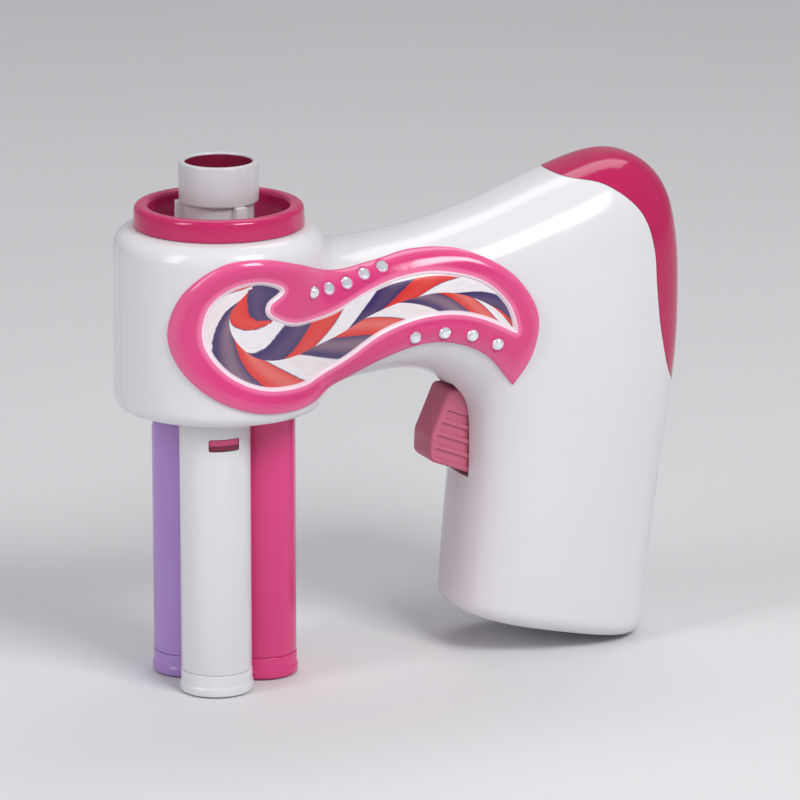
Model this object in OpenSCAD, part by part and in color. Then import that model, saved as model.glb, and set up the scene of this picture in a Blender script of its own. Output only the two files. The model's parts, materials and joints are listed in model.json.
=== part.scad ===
// Automatic hair braider: a pistol shaped toy. Three hair tubes hang from a
// rotor in the round head, and a motor in the body turns the rotor through a
// gear train in the neck. All lengths are in millimetres. The head lies towards
// -X and the handle towards +X, and Z = 0 is the surface that it stands on.
// Every form is drawn with the head axis at X = 0, then moved by placed().

/* [Head] */
// Radial width of the bearing ring between the rotor and the head's wall
bearing_w = 3.35; // [3:0.05:5]
// Height of the head's lower rim above the tube ends
head_bottom = 65; // [63:0.5:66]
// Height of the head's flat top
head_top = 107; // [106.5:0.1:108]
// Radius that rounds the head's top edge
shoulder_r = 5; // [3:0.5:5.5]
// Wall thickness of the moulded housing
wall = 2.2; // [1.8:0.1:2.4]
// Radial width of the pink collar ring on the head
collar_w = 3.55; // [3.3:0.05:4.5]
// Height of the collar ring above the head
collar_h = 5; // [4:0.5:9]

/* [Hair tubes] */
// Outer radius of a hair tube
tube_r = 8.1; // [7.6:0.05:9]
// Wall thickness of a hair tube
tube_wall = 1.15; // [0.9:0.05:1.4]
// Gap between the tubes' end rings
tube_gap = 0.1; // [0.1:0.05:1]
// How far an end ring stands out from its tube
foot_lip = 0.35; // [0.2:0.05:0.8]
// Height of the end ring on a tube's foot
foot_h = 5; // [3:0.5:8]
// How far the rotor's spigot reaches down inside a tube
spigot_len = 16; // [12:1:24]
// Width of the latch window in a tube
window_w = 7.2; // [5:0.2:8]
// Height of the latch window in a tube
window_h = 2.9; // [2:0.1:4]
// Height of the latch window's middle
window_z = 59.6; // [56:0.2:61]
// Direction that the latch windows face, in degrees off radial
window_turn = 24; // [-40:1:40]

/* [Nozzle] */
// Outer radius of the hair nozzle's cup
nozzle_r = 9.2; // [8.8:0.1:10]
// Wall thickness of the nozzle's cup
nozzle_wall = 1.5; // [1:0.1:2]
// Height of the nozzle's lip above the tube ends
nozzle_top = 122; // [117:0.5:126]

/* [Gears] */
// Gear module: pitch diameter over tooth count
gear_m = 0.8; // [0.79:0.01:0.81]
// Teeth of the idler gear
idler_teeth = 26; // [25:1:26]
// Teeth of the small gears in the two reduction stages
small_teeth = 10; // [10:1:11]
// Teeth of the first reduction's large gear
first_teeth = 28; // [26:1:28]
// Teeth of the second reduction's large gear
second_teeth = 26; // [25:1:27]
// Teeth of the motor pinion
pinion_teeth = 9; // [9:1:10]
// Play between meshing teeth
backlash = 0.14; // [0.1:0.01:0.2]
// Radius of the gears' fixed axles
axle_r = 1.5; // [1.2:0.1:1.6]

/* [Drive] */
// Width of the motor across its round sides
motor_d = 20.4; // [18:0.2:20.6]
// Width of the motor across its flats
motor_flats = 15.4; // [14:0.2:15.6]
// Radius of the motor shaft
motor_shaft_r = 1; // [0.8:0.1:1.2]
// Running clearance of shafts and journals, radial
run = 0.07; // [0.04:0.01:0.1]
// Gap left round a pressed or glued joint
seam = 0.02; // [0.01:0.01:0.04]

/* [Cells] */
// Diameter of a cell
cell_d = 14.2; // [14:0.1:14.3]
// Length of a cell, with its button
cell_len = 50.3; // [49.5:0.1:50.5]
// Lean of the cell tray from upright, in degrees
tray_lean = 8; // [7.5:0.1:8.2]
// Wall thickness of the cell tray
tray_wall = 1; // [0.8:0.1:1.1]

/* [Trigger] */
// Width of the trigger
trigger_w = 10; // [8:0.5:12]
// Radius of the trigger's pivot pin
pivot_r = 1.5; // [1.2:0.1:1.6]

/* [Trim] */
// Height of the pink trim above the housing
trim_h = 1.4; // [0.8:0.1:2]
// Radius of a gem on the trim's lower band
gem_r = 1.3; // [1:0.1:1.4]

/* [Hidden] */

// --- Radii round the head axis --------------------------------------------------
tube_pitch = (2 * (tube_r + foot_lip) + tube_gap) / sqrt(3); // from the head axis to a tube's
rim_r = tube_pitch + tube_r + 1.05;     // lower opening of the head
bearing_r = rim_r - 0.3;
head_r = bearing_r + bearing_w + 0.1 + wall;
journal_r = bearing_r - run;
drum_r = journal_r - 0.8;
drum_in = drum_r - 1.6;
neck_r = drum_r - 1;                    // upper journal of the rotor
neck_in = neck_r - 1.4;
opening_r = neck_r + run + 1.3;         // upper opening of the head
ring_in = neck_r - 0.8;                 // inner radius of the collar ring
collar_r = ring_in + collar_w;
tube_in = tube_r - tube_wall;
spigot_r = tube_in - 0.05;
strand_r = spigot_r - 1.15;             // path of a strand through the rotor
rotor_teeth = round(2 * (drum_r + 2.2) / gear_m);
TUBE_ANGLES = [0, 120, 240];

// --- Form of the body -------------------------------------------------------
// The body is a loft along these rows: the outer line's point (top of the neck,
// then the back of the handle), the inner line's point (arch, then the front of
// the handle), the half width across Y and the squareness of the section.
BODY_ROWS = [
    [6, 103, 6, 67, 21, 2.6],
    [19, 102.4, 17.5, 66.8, 19.6, 2.5],
    [30, 100.8, 28.5, 68.8, 17.8, 2.4],
    [41, 101.3, 39.5, 69.8, 17.2, 2.4],
    [52, 102.8, 48, 68.8, 17.2, 2.4],
    [66, 106.3, 54, 65.6, 17.5, 2.5],
    [82, 111.8, 57.2, 62.6, 18, 2.5],
    [96, 115.6, 58.8, 60, 18.4, 2.5],
    [104.5, 113.8, 59.4, 58, 18.5, 2.6],
    [110.4, 107, 59.7, 56, 18.6, 2.7],
    [113, 96, 59.8, 53.5, 18.6, 2.7],
    [113.6, 82, 59.8, 51, 18.5, 2.7],
    [112.8, 66, 59.8, 48.5, 18.4, 2.7],
    [109, 38, 59.6, 41.5, 18.2, 2.7],
    [106.7, 20, 58.4, 28.5, 18, 2.7],
    [104.9, 2.7, 57.2, 13.5, 18, 2.7]];
ROW_STEPS = 2;      // loft sections from one row to the next
HALF_SIDES = 14;    // flats round half a section
HEEL_STEPS = 3;     // sections round the handle's lower edge
heel_r = 4;         // radius of the handle's lower edge
rim_round = 3;      // radius of the head's lower edge
fit = 0.15;         // gap round a piece set into the housing
slip = 0.3;         // gap round a piece that moves in an opening
skin = 0.6;         // depth at which ribs end inside the housing's wall

// A point on the smooth curve through the rows, u counting rows from 0
function spline(rows, u) =
    let (last = len(rows) - 1, i = min(floor(u), last - 1), t = u - i,
         a = rows[max(i - 1, 0)], b = rows[i], c = rows[i + 1], d = rows[min(i + 2, last)])
    0.5 * (2 * b + (c - a) * t + (2 * a - 5 * b + 4 * c - d) * t * t
           + (3 * b - a - 3 * c + d) * t * t * t);
function curve(points, steps) =
    [for (k = [0:(len(points) - 1) * steps]) spline(points, k / steps)];

// A section as [outer point, inner point, half width, squareness], grown by g
function section(u, g) =
    let (r = spline(BODY_ROWS, u), o = [r[0], r[1]], i = [r[2], r[3]], dir = (o - i) / norm(o - i))
    [o + g * dir, i - g * dir, r[4] + g, r[5]];

// The sections that round the handle's lower end
function heel_section(step, g) =
    let (s = section(last_row, g), a = 90 * step / HEEL_STEPS,
         inset = (heel_r + g) * (1 - cos(a)), drop = (heel_r + g) * sin(a),
         dir = (s[0] - s[1]) / norm(s[0] - s[1]), down = [dir[1], -dir[0]])
    [s[0] - inset * dir + drop * down, s[1] + inset * dir + drop * down, s[2] - inset, s[3]];

function power(v, e) = sign(v) * pow(abs(v), e);

// Half a superellipse on the +Y side, closed a little past Y = 0 where past > 0
function half_ring(s, past) =
    let (mid = (s[0] + s[1]) / 2, half = (s[0] - s[1]) / 2, e = 2 / s[3],
         arc = [for (k = [0:HALF_SIDES]) let (a = 180 * k / HALF_SIDES, p = mid + half * power(cos(a), e))
                [p[0], s[2] * power(abs(sin(a)), e), p[1]]])
    past > 0 ? concat([[s[0][0], -past, s[0][1]]], arc, [[s[1][0], -past, s[1][1]]]) : arc;

// A solid through a row of rings with equal numbers of points
module loft(rings) {
    n = len(rings[0]);
    m = len(rings);
    end = (m - 1) * n;
    sides = [for (r = [0:m - 2], k = [0:n - 1]) let (a = r * n + k, b = r * n + (k + 1) % n)
             each [[a, b, b + n], [a, b + n, a + n]]];
    first = [for (k = [1:n - 2]) [0, k + 1, k]];
    last = [for (k = [1:n - 2]) [end, end + k, end + k + 1]];
    polyhedron(points = [for (r = rings) each r], faces = concat(sides, first, last));
}

// The +Y half of the body from row u0 to row u1, grown by g all round
last_row = len(BODY_ROWS) - 1;
module half_body(g = 0, past = 0, u0 = 0, u1 = last_row) {
    rows = [for (k = [u0 * ROW_STEPS:u1 * ROW_STEPS]) half_ring(section(k / ROW_STEPS, g), past)];
    heel = [for (k = [1:HEEL_STEPS]) half_ring(heel_section(k, g), past)];
    loft(u1 == last_row ? concat(rows, heel) : rows);
}

// Both halves of the body, from row u0 to row u1, grown by g
module whole_body(g, u0, u1) {
    loft([for (k = [u0 * ROW_STEPS:u1 * ROW_STEPS]) let (half = half_ring(section(k / ROW_STEPS, g), 0))
          concat(half, [for (j = [HALF_SIDES - 1:-1:1]) [half[j][0], -half[j][1], half[j][2]]])]);
}

// The origin lies under the middle of the whole, and the head axis off to -X
rear = max([for (k = [0:last_row * ROW_STEPS]) section(k / ROW_STEPS, 0)[0][0]]);
mid_x = (rear - head_r) / 2;
mid_y = -trim_h / 2;
module placed() {
    translate([-mid_x, -mid_y, 0]) children();
}

// The head's half profile, grown by g
module head_profile(g) {
    r = head_r + g;
    low = head_bottom - g;
    high = head_top + g;
    top_round = shoulder_r + g;
    low_round = rim_round + g;
    translate([0, low]) square([r - low_round, high - top_round - low]);
    translate([0, low + low_round]) square([r, high - top_round - low - low_round]);
    translate([0, low + low_round]) square([r - top_round, high - low - low_round]);
    translate([r - low_round, low + low_round]) circle(low_round, $fn = 32);
    translate([r - top_round, high - top_round]) circle(top_round, $fn = 32);
}
module half_head(g = 0, angle = 180, start = 0) {
    rotate([0, 0, start]) rotate_extrude(angle = angle, $fn = 96)
        intersection() {
            head_profile(g);
            square([head_r + g + 1, head_top + g + 1]);
        }
}

// A prism of an XZ outline, from y0 to y1 along Y
module prism_y(points, y0, y1) {
    translate([0, y1, 0]) rotate([90, 0, 0]) linear_extrude(y1 - y0) polygon(points);
}
// A cylinder along Y at [x, z], from y0 to y1
module rod_y(at, r, y0, y1, sides = 32) {
    translate([at[0], y1, at[1]]) rotate([90, 0, 0]) cylinder(r = r, h = y1 - y0, $fn = sides);
}

// --- Levels of the rotor and its bearings ----------------------------------------
bearing_low = head_bottom + wall + 0.1;
bearing_top = bearing_low + 4.7;
rotor_low = head_bottom + 1.7;          // underside of the rotor's disc
rotor_top = head_top - 4;

// --- Gear train: levels and centres --------------------------------------------
ring_z = 76;            // underside of the rotor's ring gear and the idler
ring_w = 5;
first_z = 82;           // underside of the first reduction's large gear
first_w = 4;
second_z = 90.5;        // underside of the second reduction's large gear
second_w = 4;
plate_t = 1.6;
plate_low_z = 73;
plate_up_z = 96.2;
hub_r = axle_r + 1.4;
hub_z = plate_low_z + plate_t + 0.2;    // hubs turn between the two plates
hub_top = plate_up_z - 0.2;
function centres(a, b) = gear_m * (a + b) / 2;
function tip(teeth) = gear_m * (teeth / 2 + 0.95);
idler_x = centres(rotor_teeth, idler_teeth);
first_x = idler_x + centres(idler_teeth, small_teeth);
second_x = first_x + centres(first_teeth, small_teeth);
motor_x = second_x + centres(second_teeth, pinion_teeth);
axle_xs = [idler_x, first_x, second_x];
sleeve_r = first_x - idler_x - tip(first_teeth) - 0.35; // idler's hub, beside the first large gear
// Each gear's turn, so that it meshes with the one before it on the X axis
function mesh_turn(turn, teeth, next) = 180 - turn * teeth / next + 180 / next;
idler_turn = mesh_turn(0, rotor_teeth, idler_teeth);
first_turn = mesh_turn(idler_turn, idler_teeth, small_teeth);
second_turn = mesh_turn(first_turn, first_teeth, small_teeth);
pinion_turn = mesh_turn(second_turn, second_teeth, pinion_teeth);

// An involute tooth's half angle at radius r, in degrees
pressure = 20;
function involute(a) = tan(a) * 180 / PI - a;
function tooth_half(teeth, r) =
    let (pitch_r = gear_m * teeth / 2, base_r = pitch_r * cos(pressure))
    90 / teeth - backlash / 4 / pitch_r * 180 / PI + involute(pressure)
    - involute(acos(min(1, base_r / max(r, base_r))));
function gear_outline(teeth) =
    let (pitch_r = gear_m * teeth / 2, root_r = pitch_r - 1.2 * gear_m, tip_r = tip(teeth),
         base_r = pitch_r * cos(pressure),
         flank = base_r > root_r + 0.1 ? [root_r, base_r, pitch_r, tip_r] : [root_r, pitch_r, tip_r],
         n = len(flank))
    [for (k = [0:teeth - 1]) each concat(
        [for (r = flank) let (a = 360 * k / teeth - tooth_half(teeth, r)) r * [cos(a), sin(a)]],
        [for (i = [n - 1:-1:0]) let (r = flank[i], a = 360 * k / teeth + tooth_half(teeth, r))
         r * [cos(a), sin(a)]])];
module spur_gear(teeth, width) {
    linear_extrude(width) polygon(gear_outline(teeth));
}
module bore(r, z0, z1) {
    translate([0, 0, z0 - 0.5]) cylinder(r = r, h = z1 - z0 + 1, $fn = 48);
}

// --- Cell tray's frame ------------------------------------------------------------
tray_at = [80.5, 5.4];            // middle of the tray's foot, X and Z
cell_play = 0.3;
cell_x = cell_d / 2 + 0.2;      // a cell's axis, either side of the middle
cell_y = 6;
tray_x = cell_x + cell_d / 2 + cell_play + tray_wall;
tray_back = cell_y - cell_d / 2 - cell_play - tray_wall;
tray_front = 12;
tray_z = 2.6;                   // underside of the tray
contact_t = 0.5;
spring_h = 2.2;
cell_z = tray_z + tray_wall + contact_t + spring_h;
tray_top = cell_z + cell_len + contact_t + tray_wall;
module in_tray() {
    translate([tray_at[0], 0, tray_at[1]]) rotate([0, tray_lean, 0]) children();
}
function to_tray(p) =
    let (d = p - tray_at, c = cos(tray_lean), s = sin(tray_lean)) [d[0] * c - d[1] * s, d[0] * s + d[1] * c];

// --- Trigger, pin and switch -------------------------------------------------------
pivot = [65.2, 59.8];           // trigger's pivot, X and Z
pivot_boss_r = 3.2;
TRIGGER_OUTLINE = [[55.4, 63.2], [50.6, 52.4], [50.4, 47.4], [51.4, 46.2], [60.4, 42.7],
    [63.6, 43.2], [65, 55], [68.2, 58.8], [66.5, 62.7], [63.5, 62.9]];
TRIGGER_SLOT = [[48, 41.8], [66, 41.8], [66.5, 64.2], [54, 64.8], [48, 60]];
pin_len = 19;
function trigger_back(z) =
    let (a = TRIGGER_OUTLINE[5], b = TRIGGER_OUTLINE[6]) a[0] + (b[0] - a[0]) * (z - a[1]) / (b[1] - a[1]);
plunger_tip = to_tray([trigger_back(52.5) + 0.3, 52.5]);
spring_tip = to_tray([trigger_back(47.2) + 0.1, 47.2]);
switch_t = 3;
switch_h = 5.2;
switch_low = plunger_tip[1] - switch_h / 2;
switch_w = 6.4;
plunger_r = 1.2;

// --- Housing screws -------------------------------------------------------------
SCREWS = [[62.3, 22], [102.2, 21], [97, 88], [80, 103], [59.6, 69.3]];
boss_r = 2.8;
screw_r = 1.15;
screw_head_r = 2.3;
head_seat = 6.5;                // screw head's seat, from the mid plane

// --- Motor ------------------------------------------------------------------------
tray_peak = tray_at[1] + tray_x * sin(tray_lean) + tray_top * cos(tray_lean);
motor_low = max(tray_peak, pivot[1] + pivot_boss_r + 1.5) + 0.5;
end_cap_h = 2.6;
motor_high = second_z - 1.7;
motor_boss_r = 3;
motor_boss_top = motor_high + 1.1;
module motor_form(grow, z0, z1) {
    translate([motor_x, 0, z0]) intersection() {
        cylinder(d = motor_d + 2 * grow, h = z1 - z0, $fn = 64);
        translate([-motor_flats / 2 - grow, -motor_d, 0])
            cube([motor_flats + 2 * grow, 2 * motor_d, z1 - z0]);
    }
}

// --- Battery door --------------------------------------------------------------------
door_x = 14.6;                  // half width of the door's opening
door_low = 6;
door_high = tray_top + 8.9;
door_round = 3;
door_screw_z = tray_top + 5.1;
door_post_r = 2.6;
module door_outline(grow, y0, y1) {
    w = door_x + grow;
    low = door_low - grow;
    high = door_high + grow;
    translate([0, y1, 0]) rotate([90, 0, 0]) linear_extrude(y1 - y0) {
        translate([-w, low + door_round]) square([2 * w, high - low - 2 * door_round]);
        translate([-w + door_round, low]) square([2 * w - 2 * door_round, high - low]);
        for (x = [-w + door_round, w - door_round], z = [low + door_round, high - door_round])
            translate([x, z]) circle(door_round, $fn = 24);
    }
}

// --- Outlines on the body's sides --------------------------------------------------
// The pink rear spine covers all that lies behind this line
SPINE_LINE = [[80.5, 118], [82, 112.3], [91, 110.4], [99, 103.8], [102.2, 95], [103, 85],
    [104.6, 74], [108.5, 63], [118, 55]];
module spine_region(grow) {
    line = [for (p = curve(SPINE_LINE, 3)) p - grow * [0.8, 0.6]];
    prism_y(concat(line, [[125, 55], [125, 125], [80.5 - grow, 125]]), -30, 30);
}
// The trim's outer edge starts and ends at its pointed tip
TRIM_LINE = [[66.6, 65.8], [70.6, 73], [71.9, 81.5], [69, 88.6], [63.2, 94.6], [54, 98.8], [43, 99.3],
    [32, 97.8], [21, 97.6], [10, 101.6], [0, 104], [-9, 102.9], [-16, 96.8], [-18.9, 87.6],
    [-17.2, 79.5], [-11.6, 73], [-3, 69], [6, 67.8], [15, 68.4], [24, 71.2], [33.5, 75.6],
    [43, 78.2], [52, 77.4], [60, 73.4], [66.6, 65.8]];
// The trim's window starts and ends at its pointed end
WINDOW_LINE = [[66.2, 79.4], [63.8, 86], [57.5, 91.6], [48, 94.1], [38, 93.7], [28, 91.3], [18, 88.2],
    [9, 87.8], [2.4, 90.6], [1.8, 93.6], [5.2, 96.4], [0, 98.6], [-6, 97.8], [-10.6, 94], [-12.2, 88.4],
    [-11.2, 83.2], [-7, 78], [-0.5, 74.6], [7, 73.6], [14.5, 74.2], [23, 77.6], [32, 82.4],
    [41, 84.9], [50, 85.3], [58, 83.4], [66.2, 79.4]];
GEMS = [[40.8, 80.6], [48.2, 80.9], [55.2, 79.6], [61.6, 76.9]];

// --- Housing -----------------------------------------------------------------------
// Ribs and bosses of either half, on its +Y side
module rib_forms() {
    for (s = SCREWS) rod_y(s, boss_r, 0, 17);
    rod_y(pivot, 3, trigger_w / 2 + slip, 15);
    for (z = [motor_low + 8.9, motor_high - 4.3]) difference() {
        translate([motor_x - motor_flats / 2, 0, z]) cube([motor_flats, 17, 2]);
        motor_form(fit, z - 1, z + 3);
    }
    for (x = [34, 50]) translate([x, 0, plate_low_z - 3]) cube([4, 7, 3]);
    for (x = [35, 51]) translate([x, 4, plate_up_z - 1.3]) cube([4, 10, 1.3]);
}
module half_shell() {
    difference() {
        union() {
            difference() {
                union() {
                    half_body();
                    half_head();
                }
                half_body(-wall, 0.5);
                half_head(-wall, 184, -2);
            }
            intersection() {
                half_body(-skin);
                rib_forms();
            }
        }
        translate([0, 0, head_bottom - 1]) cylinder(r = rim_r, h = wall + 2, $fn = 96);
        translate([0, 0, head_top - wall - 1]) cylinder(r = opening_r, h = wall + 2, $fn = 96);
        prism_y(TRIGGER_SLOT, -1, trigger_w / 2 + slip);
        rod_y(pivot, pivot_r + seam, -1, pin_len / 2 + 0.1);
        spine_region(0);
        translate([0, -1, -20]) cube([150, 40, 20]);
    }
}
module shell_near() {
    placed() color("white") difference() {
        union() {
            mirror([0, 1, 0]) half_shell();
            in_tray() {
                for (x = [-9, 7.4]) translate([x, -17, tray_z + 2]) cube([1.6, 17 + tray_back, 50]);
                rod_y([0, door_screw_z], door_post_r, -17, 10.4);
            }
        }
        for (s = SCREWS) rod_y(s, screw_r + seam, -10, 1);
        in_tray() rod_y([0, door_screw_z], 1.6, 4, 11);
    }
}
module shell_far() {
    placed() color("white") difference() {
        half_shell();
        for (s = SCREWS) {
            rod_y(s, screw_r + 0.2, -1, 20);
            rod_y(s, screw_head_r + 0.3, head_seat, 25);
        }
        in_tray() door_outline(slip, 8, 25);
    }
}
module rear_spine() {
    placed() color("deeppink") difference() {
        intersection() {
            whole_body(0, 5, 13.5);
            spine_region(-fit);
        }
        whole_body(-wall, 4.5, 14);
    }
}
module head_collar() {
    placed() color("hotpink") rotate_extrude($fn = 96) {
        top = head_top + collar_h;
        edge = 1.2;
        translate([ring_in, head_top + 0.05]) square([collar_r - ring_in, collar_h - edge]);
        translate([ring_in + edge, head_top]) square([collar_r - ring_in - 2 * edge, collar_h]);
        for (r = [ring_in + edge, collar_r - edge]) translate([r, top - edge]) circle(edge, $fn = 24);
        translate([ring_in, rotor_top + 2.4]) square([opening_r - 0.1 - ring_in, head_top - rotor_top - 2]);
        translate([neck_r + run, head_top - 6.5]) square([opening_r - 0.1 - neck_r - run, 6]);
        translate([neck_r + run, head_top - wall - 1.8]) square([opening_r + 1.1 - neck_r - run, 1.6]);
    }
}
module on_near_side(y0) {
    intersection() {
        mirror([0, 1, 0]) difference() {
            union() {
                half_body(y0[1], 0, 0, 10);
                half_head(y0[1]);
            }
            half_body(y0[0], 0.5, 0, 10.5);
            half_head(y0[0], 184, -2);
        }
        children();
    }
}
module swoosh_trim() {
    placed() color("hotpink") difference() {
        on_near_side([0.03, trim_h]) difference() {
            prism_y(curve(TRIM_LINE, 3), -30, -8);
            prism_y(curve(WINDOW_LINE, 3), -31, -7);
        }
        for (g = GEMS) rod_y(g, gem_r + 0.05, -30, -8, 24);
    }
}
module plait_panel() {
    placed() color("white") on_near_side([0.03, 0.5]) prism_y(curve(WINDOW_LINE, 3), -30, -8);
}
module gem_studs() {
    placed() color("aliceblue") for (g = GEMS) rod_y(g, gem_r, -18.9, -17.35, 24);
}
module housing_screws() {
    placed() color("silver") for (s = SCREWS) {
        rod_y(s, screw_head_r, head_seat, head_seat + 1.6);
        rod_y(s, screw_r, -9.5, head_seat);
    }
}
module rotor_bearing() {
    placed() color("whitesmoke") rotate_extrude($fn = 96)
        polygon([[bearing_r, bearing_low], [head_r - wall - 1, bearing_low], [head_r - wall - 0.1, bearing_low + 1],
                 [head_r - wall - 0.1, bearing_top], [bearing_r, bearing_top]]);
}

// --- Gear frame -----------------------------------------------------------------------
module gear_plate(z, half_w) {
    x0 = idler_x - 3.5;
    x1 = second_x + 4;
    difference() {
        translate([x0, -half_w, z]) cube([x1 - x0, 2 * half_w, plate_t]);
        for (x = axle_xs) translate([x, 0, 0]) bore(axle_r + seam, z, z + plate_t);
    }
}
module gear_plate_lower() { placed() color("whitesmoke") gear_plate(plate_low_z, 6.5); }
module gear_plate_upper() { placed() color("whitesmoke") gear_plate(plate_up_z, 4.6); }
module gear_axles() {
    placed() color("silver") for (x = axle_xs)
        translate([x, 0, plate_low_z]) cylinder(r = axle_r, h = plate_up_z + plate_t - plate_low_z, $fn = 48);
}
module idler_gear() {
    placed() color("ivory") translate([idler_x, 0, 0]) difference() {
        union() {
            translate([0, 0, ring_z]) rotate([0, 0, idler_turn]) spur_gear(idler_teeth, ring_w);
            translate([0, 0, hub_z]) cylinder(r = hub_r, h = first_z - 0.4 - hub_z, $fn = 48);
            translate([0, 0, hub_z]) cylinder(r = sleeve_r, h = hub_top - hub_z, $fn = 48);
        }
        bore(axle_r + run, plate_low_z, plate_up_z);
    }
}
module reduction_gear(x, large, large_z, large_w, large_turn, small_z, small_w, small_turn) {
    translate([x, 0, 0]) difference() {
        union() {
            translate([0, 0, large_z]) rotate([0, 0, large_turn]) spur_gear(large, large_w);
            translate([0, 0, small_z]) rotate([0, 0, small_turn]) spur_gear(small_teeth, small_w);
            translate([0, 0, hub_z]) cylinder(r = hub_r, h = hub_top - hub_z, $fn = 48);
        }
        bore(axle_r + run, plate_low_z, plate_up_z);
    }
}
module first_reduction_gear() {
    placed() color("ivory") reduction_gear(first_x, first_teeth, first_z, first_w, first_turn,
                                  ring_z - 0.4, first_z - ring_z + 0.4, first_turn);
}
module second_reduction_gear() {
    placed() color("ivory") reduction_gear(second_x, second_teeth, second_z, second_w, second_turn,
                                  first_z - 0.4, second_z - first_z + 0.4, second_turn);
}

// --- Motor and cells -----------------------------------------------------------------
module motor_can() {
    placed() color("silver") difference() {
        union() {
            motor_form(0, motor_low + end_cap_h, motor_high);
            translate([motor_x, 0, motor_high]) cylinder(r = motor_boss_r, h = motor_boss_top - motor_high, $fn = 48);
        }
        translate([motor_x, 0, motor_low + 12]) cylinder(r = motor_shaft_r + run, h = 20, $fn = 48);
    }
}
module motor_end_cap() {
    placed() color("white") motor_form(0, motor_low, motor_low + end_cap_h);
}
module motor_shaft() {
    placed() color("silver") translate([motor_x, 0, motor_low + 12.1])
        cylinder(r = motor_shaft_r, h = second_z + second_w + 1 - motor_low - 12.1, $fn = 48);
}
module motor_pinion() {
    placed() color("goldenrod") translate([motor_x, 0, second_z - 0.3]) difference() {
        rotate([0, 0, pinion_turn]) spur_gear(pinion_teeth, second_w + 0.8);
        translate([0, 0, -1]) cylinder(r = motor_shaft_r, h = second_w + 3, $fn = 48);
    }
}
module cell_tray() {
    placed() color("dimgray") in_tray() difference() {
        translate([-tray_x, tray_back, tray_z]) cube([2 * tray_x, tray_front - tray_back, tray_top - tray_z]);
        translate([-tray_x + tray_wall, tray_back + tray_wall, tray_z + tray_wall])
            cube([2 * (tray_x - tray_wall), 30, tray_top - tray_z - 2 * tray_wall]);
    }
}
module cell(side) {
    up = side < 0;
    button = 1;
    in_tray() translate([side * cell_x, cell_y, up ? cell_z : cell_z - spring_h]) {
        translate([0, 0, up ? 0 : button]) cylinder(d = cell_d, h = cell_len - button, $fn = 64);
        translate([0, 0, up ? cell_len - button : 0]) cylinder(r = 2.7, h = button, $fn = 32);
    }
}
module cell_front() { placed() color("dimgray") cell(-1); }
module cell_rear() { placed() color("dimgray") cell(1); }
// Contact plates lie on the tray's end walls, a spring under each cell's flat end
module contact_plate(x, w, z) {
    translate([x - w / 2, cell_y - 5, z]) cube([w, 10, contact_t]);
}
module contact_bridge() {
    placed() color("silver") in_tray() contact_plate(0, 2 * cell_x + 10, tray_z + tray_wall);
}
module contact_terminals() {
    placed() color("silver") in_tray() for (s = [-1, 1]) contact_plate(s * cell_x, 11, tray_top - tray_wall - contact_t);
}

// An unbroken coil along +Z, its radius running from r0 to r1
module coil(r0, r1, wire, turns, height) {
    steps = 8 * turns;
    flats = 6;
    rings = [for (k = [0:steps]) let (a = 45 * k, r = r0 + (r1 - r0) * k / steps,
                                      z = wire + (height - 2 * wire) * k / steps)
             [for (j = [0:flats - 1]) let (b = 360 * j / flats)
              [(r + wire * cos(b)) * cos(a), (r + wire * cos(b)) * sin(a), z + wire * sin(b)]]];
    end = steps * flats;
    polyhedron(points = [for (ring = rings) each ring], faces = concat(
        [[for (j = [0:flats - 1]) flats - 1 - j]], [[for (j = [0:flats - 1]) end + j]],
        [for (k = [0:steps - 1], j = [0:flats - 1]) let (a = k * flats + j, b = k * flats + (j + 1) % flats)
         each [[a, b, b + flats], [a, b + flats, a + flats]]]));
}
module contact_springs() {
    placed() color("silver") in_tray() {
        translate([-cell_x, cell_y, tray_z + tray_wall + contact_t]) coil(3.6, 2, 0.25, 3, spring_h);
        translate([cell_x, cell_y, cell_z - spring_h + cell_len]) coil(2, 3.6, 0.25, 3, spring_h);
    }
}

// --- Trigger and switch ----------------------------------------------------------------
module trigger() {
    half = trigger_w / 2;
    groove = 0.5;
    low_edge = TRIGGER_OUTLINE[3];
    slope = -22;
    placed() color("hotpink") difference() {
        union() {
            prism_y(TRIGGER_OUTLINE, -half, half);
            rod_y(pivot, pivot_boss_r, -half, half, 48);
        }
        rod_y(pivot, pivot_r + run, -half - 1, half + 1, 48);
        for (k = [1:3]) translate([low_edge[0], 0, low_edge[1]]) rotate([0, -slope, 0])
            translate([-4, -half - 1, 3.3 * k]) {
                cube([11, groove + 1, 0.9]);
                translate([0, 2 * half + 1 - groove, 0]) cube([11, groove + 1, 0.9]);
            }
    }
}
module trigger_pin() {
    placed() color("silver") rod_y(pivot, pivot_r, -pin_len / 2, pin_len / 2, 48);
}
module trigger_spring() {
    placed() color("silver") in_tray() translate([-tray_x - 0.05, 0, spring_tip[1]]) rotate([0, -90, 0])
        coil(1.7, 1.7, 0.25, 3, -tray_x - 0.05 - spring_tip[0]);
}
module switch_body() {
    placed() color("black") in_tray() difference() {
        translate([-tray_x - switch_t, -switch_w / 2, switch_low]) cube([switch_t, switch_w, switch_h]);
        translate([-tray_x - switch_t - 1, 0, plunger_tip[1]]) rotate([0, 90, 0])
            cylinder(r = plunger_r + run, h = switch_t + 2, $fn = 32);
    }
}
module switch_plunger() {
    placed() color("red") in_tray() translate([plunger_tip[0], 0, plunger_tip[1]]) rotate([0, 90, 0])
        cylinder(r = plunger_r, h = -tray_x - switch_t - plunger_tip[0] + 0.9, $fn = 32);
}

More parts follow.
